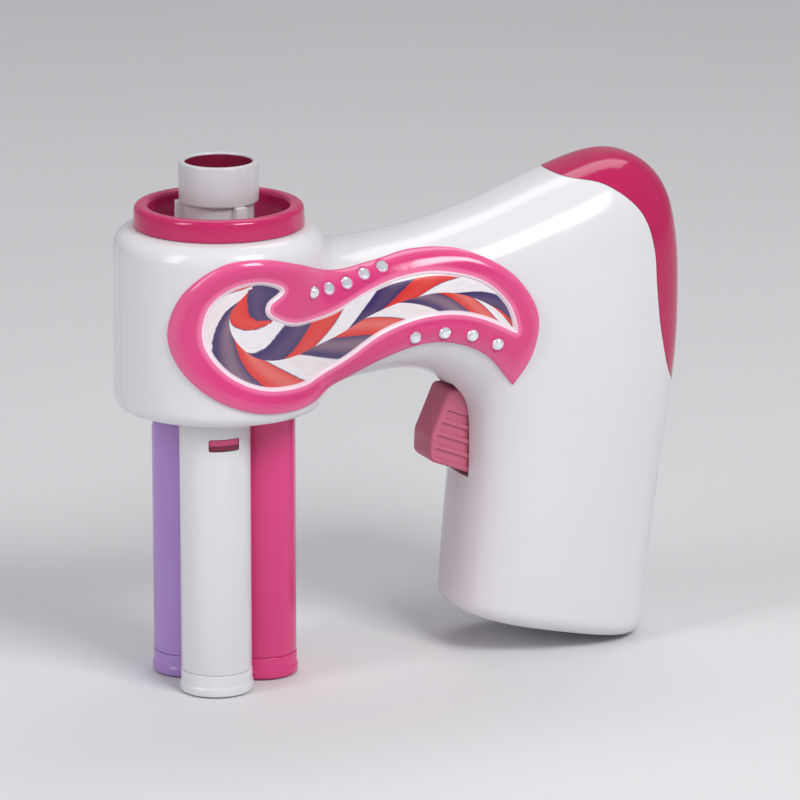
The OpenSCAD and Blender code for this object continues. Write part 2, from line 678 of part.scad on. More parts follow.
// --- Battery door -----------------------------------------------------------------------
module battery_door() {
    placed() color("white") difference() {
        union() {
            difference() {
                intersection() {
                    half_body(0, 0, 8);
                    in_tray() door_outline(0, 8, 25);
                }
                half_body(-wall, 0.5, 7.5);
            }
            in_tray() {
                for (x = [-8, 4]) {
                    translate([x, 14, door_low - 2.4]) cube([4, 0.8, 5.4]);
                    translate([x, 14, door_low + 0.2]) cube([4, 1.8, 2.8]);
                }
                rod_y([0, door_screw_z], door_post_r + 0.4, 10.7, 16.5);
            }
        }
        in_tray() {
            rod_y([0, door_screw_z], screw_r + 0.15, 5, 20);
            rod_y([0, door_screw_z], screw_head_r + 0.3, 14.5, 25);
        }
    }
}
module door_screw() {
    placed() color("silver") in_tray() {
        rod_y([0, door_screw_z], screw_head_r, 14.5, 16.1);
        rod_y([0, door_screw_z], screw_r, 9, 14.5);
    }
}

// --- Rotor, nozzle and tubes ----------------------------------------------------------------
disc_top = plate_low_z;
neck_z = head_top - 10;
module at_tube(angle) {
    rotate([0, 0, angle]) translate([tube_pitch, 0, 0]) children();
}
module latch(grow, inner, outer) {
    w = window_w + 2 * grow;
    h = window_h + 2 * grow;
    intersection() {
        rotate([0, 0, window_turn]) translate([inner, -w / 2, window_z - h / 2]) cube([10, w, h]);
        translate([0, 0, window_z - h]) cylinder(r = outer, h = 2 * h, $fn = 96);
    }
}
module rotor() {
    placed() color("deeppink") difference() {
        rotate_extrude($fn = 96) polygon([[0, rotor_low], [journal_r, rotor_low],
            [journal_r, bearing_top + 0.1], [journal_r + 0.8, bearing_top + 0.1],
            [journal_r + 0.8, disc_top], [0, disc_top]]);
        for (a = TUBE_ANGLES) at_tube(a) bore(spigot_r + seam, rotor_low, disc_top);
    }
}
module rotor_drum() {
    placed() color("deeppink") rotate_extrude($fn = 96) polygon([
        [drum_in, disc_top + seam], [drum_r, disc_top + seam], [drum_r, neck_z], [neck_r, neck_z],
        [neck_r, rotor_top], [neck_in, rotor_top], [neck_in, neck_z - 1.4], [drum_in, neck_z - 1.4]]);
}
module rotor_spigots() {
    placed() color("deeppink") for (a = TUBE_ANGLES) at_tube(a) difference() {
        union() {
            translate([0, 0, rotor_low - spigot_len]) cylinder(r = spigot_r, h = disc_top - rotor_low + spigot_len, $fn = 64);
            latch(-0.2, strand_r + 0.4, tube_r - 0.2);
        }
        bore(strand_r, rotor_low - spigot_len, disc_top);
    }
}
module ring_gear() {
    placed() color("ivory") difference() {
        union() {
            translate([0, 0, ring_z]) spur_gear(rotor_teeth, ring_w);
            translate([0, 0, disc_top + 0.65]) cylinder(r = drum_r + 1.1, h = ring_w, $fn = 96);
        }
        translate([0, 0, disc_top]) cylinder(r = drum_r + seam, h = ring_w + 10, $fn = 96);
    }
}
module hair_nozzle() {
    flange_z = rotor_top + 0.05;
    flange_top = rotor_top + 2;
    cup_in = nozzle_r - nozzle_wall;
    throat = cup_in - 1.1;
    cup_z = head_top + 5.5;
    placed() color("lightgray") {
        rotate_extrude($fn = 96) polygon([
            [neck_in - 2.6, flange_z - 2.5], [neck_in - 0.05, flange_z - 2.5], [neck_in - 0.05, flange_z],
            [neck_r - 0.05, flange_z], [neck_r - 0.05, flange_top], [throat + 1.4, flange_top],
            [throat + 1.4, cup_z], [nozzle_r - 0.4, cup_z], [nozzle_r, cup_z + 0.4],
            [nozzle_r, nozzle_top - 0.4], [nozzle_r - 0.4, nozzle_top], [cup_in + 0.4, nozzle_top],
            [cup_in, nozzle_top - 0.4], [cup_in, cup_z + 2.5], [throat, cup_z + 0.5], [throat, flange_top]]);
        for (a = [40, 160, 280]) rotate([0, 0, a]) translate([throat + 1, -1.4, flange_top - 0.5])
            cube([2.6, 2.8, 4]);
    }
}
module hair_tube() {
    top = rotor_low - 0.05;
    difference() {
        translate([0, 0, foot_h + 0.05]) cylinder(r = tube_r, h = top - foot_h - 0.05, $fn = 96);
        bore(tube_in, 0, top);
        latch(0, strand_r, tube_r + 1);
    }
}
module tube_foot() {
    lip = tube_r + foot_lip;
    rotate_extrude($fn = 96) polygon([[strand_r + 0.2, 0.6], [strand_r + 0.8, 0], [lip - 0.5, 0], [lip, 0.5],
        [lip, 1.6], [tube_r + 0.08, foot_h], [tube_in - 0.05, foot_h], [tube_in - 0.05, foot_h + 4],
        [strand_r + 0.2, foot_h + 4]]);
}
module tube_pink() { placed() color("hotpink") at_tube(TUBE_ANGLES[0]) hair_tube(); }
module tube_purple() { placed() color("mediumorchid") at_tube(TUBE_ANGLES[1]) hair_tube(); }
module tube_white() { placed() color("white") at_tube(TUBE_ANGLES[2]) hair_tube(); }
module foot_pink() { placed() color("hotpink") at_tube(TUBE_ANGLES[0]) tube_foot(); }
module foot_purple() { placed() color("mediumorchid") at_tube(TUBE_ANGLES[1]) tube_foot(); }
module foot_white() { placed() color("white") at_tube(TUBE_ANGLES[2]) tube_foot(); }

shell_near();
shell_far();
rear_spine();
head_collar();
swoosh_trim();
plait_panel();
gem_studs();
housing_screws();
rotor_bearing();
gear_plate_lower();
gear_plate_upper();
gear_axles();
motor_can();
motor_end_cap();
cell_tray();
cell_front();
cell_rear();
contact_bridge();
contact_terminals();
contact_springs();
switch_body();
trigger_pin();
trigger_spring();
trigger();
switch_plunger();
battery_door();
door_screw();
rotor();
rotor_drum();
rotor_spigots();
ring_gear();
hair_nozzle();
tube_pink();
tube_purple();
tube_white();
foot_pink();
foot_purple();
foot_white();
idler_gear();
first_reduction_gear();
second_reduction_gear();
motor_shaft();
motor_pinion();
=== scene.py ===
import json
import math

import bmesh
import bpy
import numpy as np
from mathutils import Matrix, Vector
from mathutils.bvhtree import BVHTree
from mathutils.geometry import delaunay_2d_cdt
from mathutils.interpolate import poly_3d_calc


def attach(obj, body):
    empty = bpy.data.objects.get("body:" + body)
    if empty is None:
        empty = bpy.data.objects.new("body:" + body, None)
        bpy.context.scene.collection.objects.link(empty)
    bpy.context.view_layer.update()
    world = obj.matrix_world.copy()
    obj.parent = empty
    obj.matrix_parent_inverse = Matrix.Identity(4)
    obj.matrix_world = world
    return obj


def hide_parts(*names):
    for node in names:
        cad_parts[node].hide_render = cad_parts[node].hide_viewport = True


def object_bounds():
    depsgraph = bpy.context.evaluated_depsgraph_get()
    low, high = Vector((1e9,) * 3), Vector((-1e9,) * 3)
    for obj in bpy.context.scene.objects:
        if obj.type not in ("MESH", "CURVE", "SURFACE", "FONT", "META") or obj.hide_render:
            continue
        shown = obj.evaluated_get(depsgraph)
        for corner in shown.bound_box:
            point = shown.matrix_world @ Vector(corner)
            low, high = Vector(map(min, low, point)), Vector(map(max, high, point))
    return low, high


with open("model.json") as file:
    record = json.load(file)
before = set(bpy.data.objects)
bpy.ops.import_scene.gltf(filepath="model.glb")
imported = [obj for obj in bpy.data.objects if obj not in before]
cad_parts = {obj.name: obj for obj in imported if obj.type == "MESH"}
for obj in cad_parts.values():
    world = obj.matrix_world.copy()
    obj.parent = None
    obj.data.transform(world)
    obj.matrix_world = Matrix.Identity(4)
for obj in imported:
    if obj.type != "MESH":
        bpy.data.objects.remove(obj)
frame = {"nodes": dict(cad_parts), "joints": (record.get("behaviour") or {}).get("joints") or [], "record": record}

cad_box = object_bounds()

# ---------------------------------------------------------------------------
# Sizes, in millimetres with the head axis at X = 0, as the solids have them
# ---------------------------------------------------------------------------
HEAD_R = 24.315
HEAD_LOW, HEAD_TOP = 65.0, 107.0
SHOULDER_R, RIM_R = 5.0, 3.0
WALL, CORE_INSET = 2.2, 0.6     # bosses and ribs end inside the wall, CORE_INSET under the skin
# [outer x, outer z, inner x, inner z, half width, squareness] along neck and handle
BODY_ROWS = np.array([
    [6, 103, 6, 67, 21, 2.6],
    [19, 102.4, 17.5, 66.8, 19.6, 2.5],
    [30, 100.8, 28.5, 68.8, 17.8, 2.4],
    [41, 101.3, 39.5, 69.8, 17.2, 2.4],
    [52, 102.8, 48, 68.8, 17.2, 2.4],
    [66, 106.3, 54, 65.6, 17.5, 2.5],
    [82, 111.8, 57.2, 62.6, 18, 2.5],
    [96, 115.6, 58.8, 60, 18.4, 2.5],
    [104.5, 113.8, 59.4, 58, 18.5, 2.6],
    [110.4, 107, 59.7, 56, 18.6, 2.7],
    [113, 96, 59.8, 53.5, 18.6, 2.7],
    [113.6, 82, 59.8, 51, 18.5, 2.7],
    [112.8, 66, 59.8, 48.5, 18.4, 2.7],
    [109, 38, 59.6, 41.5, 18.2, 2.7],
    [106.7, 20, 58.4, 28.5, 18, 2.7],
    [104.9, 2.7, 57.2, 13.5, 18, 2.7]])
HEEL_R = 4.0
SPINE_LINE = [(80.5, 118), (82, 112.3), (91, 110.4), (99, 103.8), (102.2, 95), (103, 85),
              (104.6, 74), (108.5, 63), (118, 55)]
SPINE_FORWARD, SPINE_GAP = np.array((0.8, 0.6)), 0.12
TRIM_LINE = [(66.6, 65.8), (70.6, 73), (71.9, 81.5), (69, 88.6), (63.2, 94.6), (54, 98.8), (43, 99.3),
             (32, 97.8), (21, 97.6), (10, 101.6), (0, 104), (-9, 102.9), (-16, 96.8), (-18.9, 87.6),
             (-17.2, 79.5), (-11.6, 73), (-3, 69), (6, 67.8), (15, 68.4), (24, 71.2), (33.5, 75.6),
             (43, 78.2), (52, 77.4), (60, 73.4), (66.6, 65.8)]
WINDOW_LINE = [(66.2, 79.4), (63.8, 86), (57.5, 91.6), (48, 94.1), (38, 93.7), (28, 91.3), (18, 88.2),
               (9, 87.8), (2.4, 90.6), (1.8, 93.6), (5.2, 96.4), (0, 98.6), (-6, 97.8), (-10.6, 94),
               (-12.2, 88.4), (-11.2, 83.2), (-7, 78), (-0.5, 74.6), (7, 73.6), (14.5, 74.2), (23, 77.6),
               (32, 82.4), (41, 84.9), (50, 85.3), (58, 83.4), (66.2, 79.4)]
GEMS = [(40.8, 80.6), (48.2, 80.9), (55.2, 79.6), (61.6, 76.9)]
UPPER_GEMS = [(13.6, 94.4), (18.6, 93.9), (23.6, 94.3), (28.8, 95.3), (34, 96.2)]
# Middle of the window, which the printed plait follows
CENTRE_LINE = [(66.2, 79.4), (60, 85.8), (50, 89.8), (40, 89.3), (30, 86.8), (20, 83), (10, 80.6), (0, 81),
               (-6, 86), (-7, 92), (-3, 97)]
TRIM_H, RIDGE = 1.4, 0.42       # height of the band, and where across it the crest lies
TRIM_SINK = 0.3                 # how deep the band and the panel reach into the housing
PANEL_LIFT = 0.12
GEM_R, GEM_SINK = 1.6, 0.35     # sinks are counted from the band's top
BEZEL_W, BEZEL_TOP, BEZEL_SINK = 0.32, 0.22, 0.15
TRIGGER_OUTLINE = [(55.4, 63.2), (50.6, 52.4), (50.4, 47.4), (51.4, 46.2), (60.4, 42.7), (63.6, 43.2),
                   (65, 55), (68.2, 58.8), (66.5, 62.7), (63.5, 62.9)]
TRIGGER_RADII = (1.5, 4, 2, 1.2, 1.2, 1.2, 4, 1.5, 1.2, 1.2)
# Pockets between ribs that run along the trigger's lower edge, counted up from its outline's fourth
# corner. POCKET_FRONT holds heights, and how far forward the finger side lies at each.
POCKET_LOWS, POCKET_W, POCKET_DEPTH, POCKET_TILT = (1.3, 4.4, 7.5, 10.6), 2.2, 0.5, math.radians(22)
POCKET_FRONT, POCKET_WALL = ((0.74, 5.45, 17.3), (-1.4, -3.1, -2.7)), 1.3
TRIGGER_SLOT = [(48, 41.8), (66, 41.8), (66.5, 64.2), (54, 64.8), (48, 60)]
TRIGGER_W, TRIGGER_GAP = 10.0, 0.3
PIVOT = (65.2, 59.8)
SCREWS = [(62.3, 22), (102.2, 21), (97, 88), (80, 103), (59.6, 69.3)]
BOSS_R, PIVOT_BOSS_R, PIVOT_BOSS_Y = 2.8, 3, 5.3
PILOT_R, THROUGH_R, RECESS_R = 1.17, 1.4, 2.6   # a screw's holes in the near and the far half
PIN_HOLE_R, PIN_HOLE_END = 1.52, 9.6
SEAT_Y, SCREW_TIP = 6.5, -9.5                   # under a housing screw's head, and its tip
DOOR_SEAT_Y, DOOR_SCREW_TIP = 14.5, 9
TRAY_AT, TRAY_LEAN = (80.5, 5.4), math.radians(8)
DOOR_X, DOOR_LOW, DOOR_HIGH, DOOR_ROUND, DOOR_SCREW_Z = 14.6, 6, 67, 3, 63.2
DOOR_INNER_Y, DOOR_GAP = 8.5, 0.3
GRIP_ZS, GRIP_HALF_W, GRIP_H, GRIP_Y = (9.2, 11.2, 13.2), 5.5, 1, 17.75   # grooves for a thumb
TUBE_R, TUBE_IN, TUBE_PITCH, TUBE_TOP = 8.1, 6.95, 9.815, 66.65
FOOT_H, FOOT_R, STRAND_R = 5.0, 8.45, 5.75
LATCH_W, LATCH_H, LATCH_Z, LATCH_TURN = 7.2, 2.9, 59.6, 24
RIM_OPENING, OPENING_R = 18.965, 18.165
NECK_R, NECK_IN, ROTOR_TOP = 16.795, 15.395, 103.0
COLLAR_R, COLLAR_IN, COLLAR_H = 19.545, 15.995, 5.0
SKIRT_R, SKIRT_LOW, SKIRT_TOP = OPENING_R - 0.1, HEAD_TOP - 6.5, 106.5
LIP_R, LIP_LOW, LIP_TOP = OPENING_R + 1.1, 103, 104.6       # holds the collar under the head's top
NOZZLE_R, CUP_IN, THROAT, CUP_Z, NOZZLE_TOP = 9.2, 7.7, 6.6, 112.5, 122.0
SEAM = 0.05         # half the parting line between the housing's halves
FIT = 0.05          # gap between pieces that are pressed together
RUN = 0.07          # gap in which the rotor's neck turns inside the collar
FAR = 25            # past the widest point of the housing, for cuts
VOXEL = 0.5      # mesh of the smooth skin
# How the crease between neck and head is eased into a fillet
CREASE_X, HOLLOW, FILLET_REACH = (5, 30), 0.06, 5
WEIGHT_FADE, LEAST_WEIGHT = 0.93, 0.06
RELAX_ROUNDS, RELAX_STEP = 30, 0.8

joints = {joint["name"]: joint for joint in frame["joints"]}
head_axis = Vector(joints["rotor_spin"]["pos_m"])
PLACE = Matrix.Translation((head_axis.x, head_axis.y, 0)) @ Matrix.Scale(0.001, 4)


# ---------------------------------------------------------------------------
# Mesh helpers
# ---------------------------------------------------------------------------
def make(name, verts, faces):
    """A mesh object whose faces all look outwards."""
    mesh = bpy.data.meshes.new(name)
    mesh.from_pydata([tuple(map(float, v)) for v in verts], [], [tuple(map(int, f)) for f in faces])
    shape = bmesh.new()
    shape.from_mesh(mesh)
    bmesh.ops.recalc_face_normals(shape, faces=shape.faces)
    shape.to_mesh(mesh)
    shape.free()
    return link(name, mesh)


def bake(obj):
    """The object's mesh becomes what its modifiers make of it."""
    graph = bpy.context.evaluated_depsgraph_get()
    mesh = bpy.data.meshes.new_from_object(obj.evaluated_get(graph))
    obj.modifiers.clear()
    obj.data = mesh
    return obj


def link(name, mesh):
    obj = bpy.data.objects.new(name, mesh)
    bpy.context.scene.collection.objects.link(obj)
    return obj


def copy(obj, name):
    """A second object with its own mesh."""
    return link(name, obj.data.copy())


def combine(obj, operation, *tools, keep=False):
    """Adds, cuts or intersects with the tools, which are used up unless kept."""
    for tool in tools:
        change = obj.modifiers.new("combine", "BOOLEAN")
        change.solver = "MANIFOLD"
        change.operation = operation
        change.object = tool
    bake(obj)
    for tool in () if keep else tools:
        bpy.data.objects.remove(tool)
    return obj


def fillet(corners, steps=6):
    """A closed outline through corners (x, z, radius), each rounded by its radius."""
    outline = []
    for k, (x, z, radius) in enumerate(corners):
        corner = np.array((x, z), float)
        before = np.array(corners[k - 1][:2]) - corner
        after = np.array(corners[(k + 1) % len(corners)][:2]) - corner
        if radius == 0:
            outline.append(corner)
            continue
        before /= np.linalg.norm(before)
        after /= np.linalg.norm(after)
        half = math.acos(np.clip(before @ after, -1, 1)) / 2
        turn = math.pi - 2 * half
        centre = corner + (before + after) / np.linalg.norm(before + after) * radius / math.sin(half)
        first = corner + before * radius / math.tan(half) - centre
        last = corner + after * radius / math.tan(half) - centre
        for s in np.linspace(0, 1, steps + 1):
            outline.append(centre + (math.sin((1 - s) * turn) * first + math.sin(s * turn) * last)
                           / math.sin(turn))
    return outline


def circle(radius, count, at=(0, 0), turn=0):
    """Points round a circle; turn is in steps."""
    angles = [2 * math.pi * (k + turn) / count for k in range(count)]
    return [(at[0] + radius * math.cos(a), at[1] + radius * math.sin(a)) for a in angles]


def lathe(name, profile, steps=160):
    """A profile of (radius, z) points turned about the Z axis."""
    verts, rings = [], []
    for r, z in profile:
        count = 1 if r < 1e-6 else steps
        rings.append([len(verts) + k for k in range(count)])
        verts += [(x, y, z) for x, y in circle(r, count)]
    faces = []
    for low, high in zip(rings, rings[1:] + rings[:1]):
        for k in range(steps if len(low) + len(high) > 2 else 0):
            corners = [low[k % len(low)], low[(k + 1) % len(low)]]
            corners += [high[(k + 1) % len(high)], high[k % len(high)]]
            faces.append(list(dict.fromkeys(corners)))
    return make(name, verts, faces)


def prism(name, outline, y0, y1):
    """An outline of (x, z) points, drawn out along Y."""
    n = len(outline)
    verts = [(x, y, z) for y in (y0, y1) for x, z in outline]
    sides = [(k, (k + 1) % n, n + (k + 1) % n, n + k) for k in range(n)]
    return make(name, verts, sides + [tuple(range(n)), tuple(range(n, 2 * n))])


def rod(name, at, radius, y0, y1, steps=48):
    """A round bar along Y at (x, z)."""
    return prism(name, circle(radius, steps, at), y0, y1)


def corners_of(x0, x1, z0, z1, radius=0):
    """A rectangle as corners for fillet()."""
    return [(x0, z0, radius), (x1, z0, radius), (x1, z1, radius), (x0, z1, radius)]


def block(name, low, high):
    """A box from one corner to the other."""
    return prism(name, fillet(corners_of(low[0], high[0], low[2], high[2])), low[1], high[1])


def loft(name, rings):
    """Rings of equally many points, joined in order and closed at both ends."""
    count, n = len(rings), len(rings[0])
    faces = [(r * n + k, r * n + (k + 1) % n, (r + 1) * n + (k + 1) % n, (r + 1) * n + k)
             for r in range(count - 1) for k in range(n)]
    faces += [tuple(range(n)), tuple(range((count - 1) * n, count * n))]
    return make(name, [p for ring in rings for p in ring], faces)


def from_tray(x, z):
    """A point of the leaned cell tray's own frame, as (x, z)."""
    c, s = math.cos(TRAY_LEAN), math.sin(TRAY_LEAN)
    return TRAY_AT[0] + x * c + z * s, TRAY_AT[1] - x * s + z * c


def tray_block(name, x0, x1, z0, z1, y0, y1, radius=0):
    """A block whose outline lies in the cell tray's frame."""
    outline = [from_tray(x, z) for x, z in fillet(corners_of(x0, x1, z0, z1, radius))]
    return prism(name, outline, y0, y1)


def spline(rows, u):
    """A Catmull-Rom curve through the rows, at the fractional row u."""
    rows = np.asarray(rows, float)
    last = len(rows) - 1
    i = min(int(u), last - 1)
    t = u - i
    a, b, c, d = rows[max(i - 1, 0)], rows[i], rows[i + 1], rows[min(i + 2, last)]
    square, cube = 2 * a - 5 * b + 4 * c - d, 3 * b - a - 3 * c + d
    return 0.5 * (2 * b + (c - a) * t + square * t * t + cube * t ** 3)


def curve(points, steps):
    """The spline through the points, with steps between one and the next."""
    return [spline(points, k / steps) for k in range((len(points) - 1) * steps + 1)]


def numbers(data, name, width):
    """A mesh attribute, such as every vertex's place, as an array."""
    values = np.empty(len(data) * width, np.float32 if name != "vertices" else np.int32)
    data.foreach_get(name, values)
    return values.reshape(-1, width) if width > 1 else values


# ---------------------------------------------------------------------------
# Housing: one smooth skin, then its pieces are cut from it
# ---------------------------------------------------------------------------
def body_rings(grow, row_steps, sides, heel_steps):
    """Sections along neck and handle, then ones that close in over the heel's round edge."""
    rings = []
    sections = [(u / row_steps, 0) for u in range((len(BODY_ROWS) - 1) * row_steps + 1)]
    sections += [(len(BODY_ROWS) - 1, math.pi / 2 * k / heel_steps) for k in range(1, heel_steps + 1)]
    for u, bend in sections:
        ox, oz, ix, iz, half_w, square = spline(BODY_ROWS, u)
        outer, inner = np.array((ox, oz)), np.array((ix, iz))
        along = (outer - inner) / np.linalg.norm(outer - inner)
        down = np.array((along[1], -along[0]))
        inset = (HEEL_R + grow) * (1 - math.cos(bend))
        drop = (HEEL_R + grow) * math.sin(bend) * down
        outer = outer + (grow - inset) * along + drop
        inner = inner - (grow - inset) * along + drop
        half_w += grow - inset
        ring = []
        for k in range(sides):
            a = 2 * math.pi * k / sides
            c, s = math.cos(a), math.sin(a)
            mid = (outer + inner) / 2 + (outer - inner) / 2 * math.copysign(abs(c) ** (2 / square), c)
            ring.append((mid[0], half_w * math.copysign(abs(s) ** (2 / square), s), mid[1]))
        rings.append(ring)
    return rings


def head_profile(grow):
    """The round head's outline for lathe()."""
    r, low, high = HEAD_R + grow, HEAD_LOW - grow, HEAD_TOP + grow
    return fillet([(0, low, 0), (r, low, RIM_R + grow), (r, high, SHOULDER_R + grow), (0, high, 0)], 14)


def housing_form(name, grow, fine):
    """Neck, handle and head as one form, larger by grow all round."""
    row_steps, sides, heel_steps, head_steps = (10, 96, 10, 192) if fine else (3, 40, 4, 96)
    body = loft(name, body_rings(grow, row_steps, sides, heel_steps))
    return combine(body, "UNION", lathe("head", head_profile(grow), head_steps))


def neighbours(values, edges, degree):
    """The average over each vertex's neighbours."""
    total = np.zeros_like(values)
    for axis in range(values.shape[1]):
        for a, b in ((0, 1), (1, 0)):
            total[:, axis] += np.bincount(edges[:, a], values[edges[:, b], axis], len(values))
    return total / degree[:, None]


def housing_skin():
    """The smooth outside, with a soft fillet where the neck meets the head."""
    sharp = housing_form("sharp", 0, True)
    skin = copy(sharp, "skin")
    mesher = skin.modifiers.new("even", "REMESH")
    mesher.mode = "VOXEL"
    mesher.voxel_size = VOXEL
    bake(skin)
    wrap = skin.modifiers.new("wrap", "SHRINKWRAP")
    wrap.target = sharp
    bake(skin)
    bpy.data.objects.remove(sharp)
    mesh = skin.data
    places = numbers(mesh.vertices, "co", 3).astype(float)
    normals = numbers(mesh.vertices, "normal", 3)
    edges = numbers(mesh.edges, "vertices", 2)
    degree = np.bincount(edges.ravel(), minlength=len(places)).astype(float)
    inward = ((neighbours(places, edges, degree) - places) * normals).sum(axis=1)
    near_crease = (places[:, 0] > CREASE_X[0]) & (places[:, 0] < CREASE_X[1])
    weight = np.where((inward > HOLLOW * VOXEL) & near_crease, 1.0, 0.0)
    for _ in range(round(FILLET_REACH / VOXEL)):
        spread = weight.copy()
        np.maximum.at(spread, edges[:, 0], weight[edges[:, 1]] * WEIGHT_FADE)
        np.maximum.at(spread, edges[:, 1], weight[edges[:, 0]] * WEIGHT_FADE)
        weight = spread
    weight = np.clip(weight, LEAST_WEIGHT, 1)[:, None]
    for _ in range(round(RELAX_ROUNDS / VOXEL)):
        places += RELAX_STEP * weight * (neighbours(places, edges, degree) - places)
    mesh.vertices.foreach_set("co", places.astype(np.float32).ravel())
    mesh.update()
    return skin


def door_form(name, grow, y0):
    """The door's outline, larger by grow, from y0 out to the far side."""
    w, low, high = DOOR_X + grow, DOOR_LOW - grow, DOOR_HIGH + grow
    return tray_block(name, -w, w, low, high, y0, FAR, DOOR_ROUND)


def spine_outline(grow):
    """The spine's front edge, moved forward by grow, then round behind the hump."""
    line = [p - grow * SPINE_FORWARD for p in curve(SPINE_LINE, 8)]
    return line + [(125, 55), (125, 125), (SPINE_LINE[0][0] - grow, 125)]


def supports_near():
    """The bosses and ribs that carry the housing's screws, the cell tray and the trigger pin."""
    forms = [rod("boss", at, BOSS_R, -17, -SEAM) for at in SCREWS]
    forms.append(rod("pivot_boss", PIVOT, PIVOT_BOSS_R, -15, -PIVOT_BOSS_Y))
    forms += [tray_block("rib", x, x + 1.6, 4.6, 54.6, -17, -2.4) for x in (-9, 7.4)]
    return forms


def supports_far():
    """The bosses on the far side."""
    forms = [rod("boss", at, BOSS_R, SEAM, 17) for at in SCREWS]
    return forms + [rod("pivot_boss", PIVOT, PIVOT_BOSS_R, PIVOT_BOSS_Y, 15)]


skin = housing_skin()
cavity = housing_form("cavity", -WALL, False)
solid_core = housing_form("core", -CORE_INSET, False)
wall = combine(copy(skin, "wall"), "DIFFERENCE", cavity, keep=True)
behind = prism("region", spine_outline(-SPINE_GAP), -30, 30)
spine = combine(copy(wall, "rear_spine.skin"), "INTERSECT", behind)
door = combine(copy(wall, "battery_door.skin"), "INTERSECT", door_form("region", 0, DOOR_INNER_Y))
combine(wall, "DIFFERENCE",
        prism("spine", spine_outline(0), -30, 30),
        lathe("low", fillet(corners_of(0, RIM_OPENING, HEAD_LOW - 1, HEAD_LOW + 3))),
        lathe("high", fillet(corners_of(0, OPENING_R, HEAD_TOP - 4, HEAD_TOP + 1))),
        block("floor", (0, -40, -20), (150, 40, 0)))
shell_near = copy(wall, "shell_near.skin")
shell_far = wall
shell_far.name = "shell_far.skin"
door_screw_at = from_tray(0, DOOR_SCREW_Z)
slot_half_w = TRIGGER_W / 2 + TRIGGER_GAP
sides = ((shell_near, supports_near, -30, -SEAM), (shell_far, supports_far, SEAM, 30))
for half, supports, y0, y1 in sides:
    for form in supports():
        combine(half, "UNION", combine(form, "INTERSECT", solid_core, keep=True))
    combine(half, "DIFFERENCE", prism("slot", TRIGGER_SLOT, -slot_half_w, slot_half_w),
            rod("pin_hole", PIVOT, PIN_HOLE_R, -PIN_HOLE_END, PIN_HOLE_END))
    combine(half, "INTERSECT", block("side", (-40, y0, -5), (140, y1, 130)))
combine(shell_near, "UNION", rod("door_post", door_screw_at, 2.6, -17, 10.4))
combine(shell_near, "DIFFERENCE", rod("door_screw_hole", door_screw_at, 1.6, 4, 11),
        *[rod("screw_hole", at, PILOT_R, -10, 1) for at in SCREWS])
combine(shell_far, "DIFFERENCE", door_form("doorway", DOOR_GAP, 8),
        *[rod("screw_hole", at, THROUGH_R, -1, 20) for at in SCREWS],
        *[rod("screw_recess", at, RECESS_R, SEAT_Y, FAR) for at in SCREWS])
tab_steps = ((3.6, 14.8), (6.2, 16.2))      # where each layer of a tab starts, and its outer face
door_tabs = [tray_block("tab", x, x + 4, z, 9, 14, y) for z, y in tab_steps for x in (-8, 4)]
combine(door, "UNION", *door_tabs, rod("post", door_screw_at, 3, 10.7, 16.5))
combine(door, "DIFFERENCE", rod("screw_hole", door_screw_at, 1.3, 5, 20),
        rod("screw_recess", door_screw_at, RECESS_R, DOOR_SEAT_Y, FAR),
        *[tray_block("grip", -GRIP_HALF_W, GRIP_HALF_W, z, z + GRIP_H, GRIP_Y, FAR, 0.45) for z in GRIP_ZS])
for helper in (cavity, solid_core):
    bpy.data.objects.remove(helper)


# ---------------------------------------------------------------------------
# Trim and printed panel: thin pieces laid over the near side of the skin
# ---------------------------------------------------------------------------
def inside(outline, points):
    """Which points lie inside the closed outline."""
    result = np.zeros(len(points), bool)
    for (x0, z0), (x1, z1) in zip(outline, np.roll(outline, -1, axis=0)):
        if z0 != z1:
            crosses = (z0 > points[:, 1]) != (z1 > points[:, 1])
            result ^= crosses & (points[:, 0] < x0 + (points[:, 1] - z0) * (x1 - x0) / (z1 - z0))
    return result


def distance(outline, points, closed=True):
    """Every point's distance to the outline, the place along it and the side that it lies on."""
    best = np.full(len(points), np.inf)
    place, side = np.zeros(len(points)), np.zeros(len(points))
    ends = np.roll(outline, -1, axis=0) if closed else outline[1:]
    run = 0.0
    for a, b in zip(outline, ends):
        ab = b - a
        length = np.linalg.norm(ab)
        t = np.clip((points - a) @ ab / length ** 2, 0, 1)
        off = points - a - t[:, None] * ab
        far = np.linalg.norm(off, axis=1)
        nearer = far < best
        best[nearer] = far[nearer]
        place[nearer] = (run + t * length)[nearer]
        side[nearer] = np.sign(ab[0] * off[:, 1] - ab[1] * off[:, 0])[nearer]
        run += length
    return best, place, side


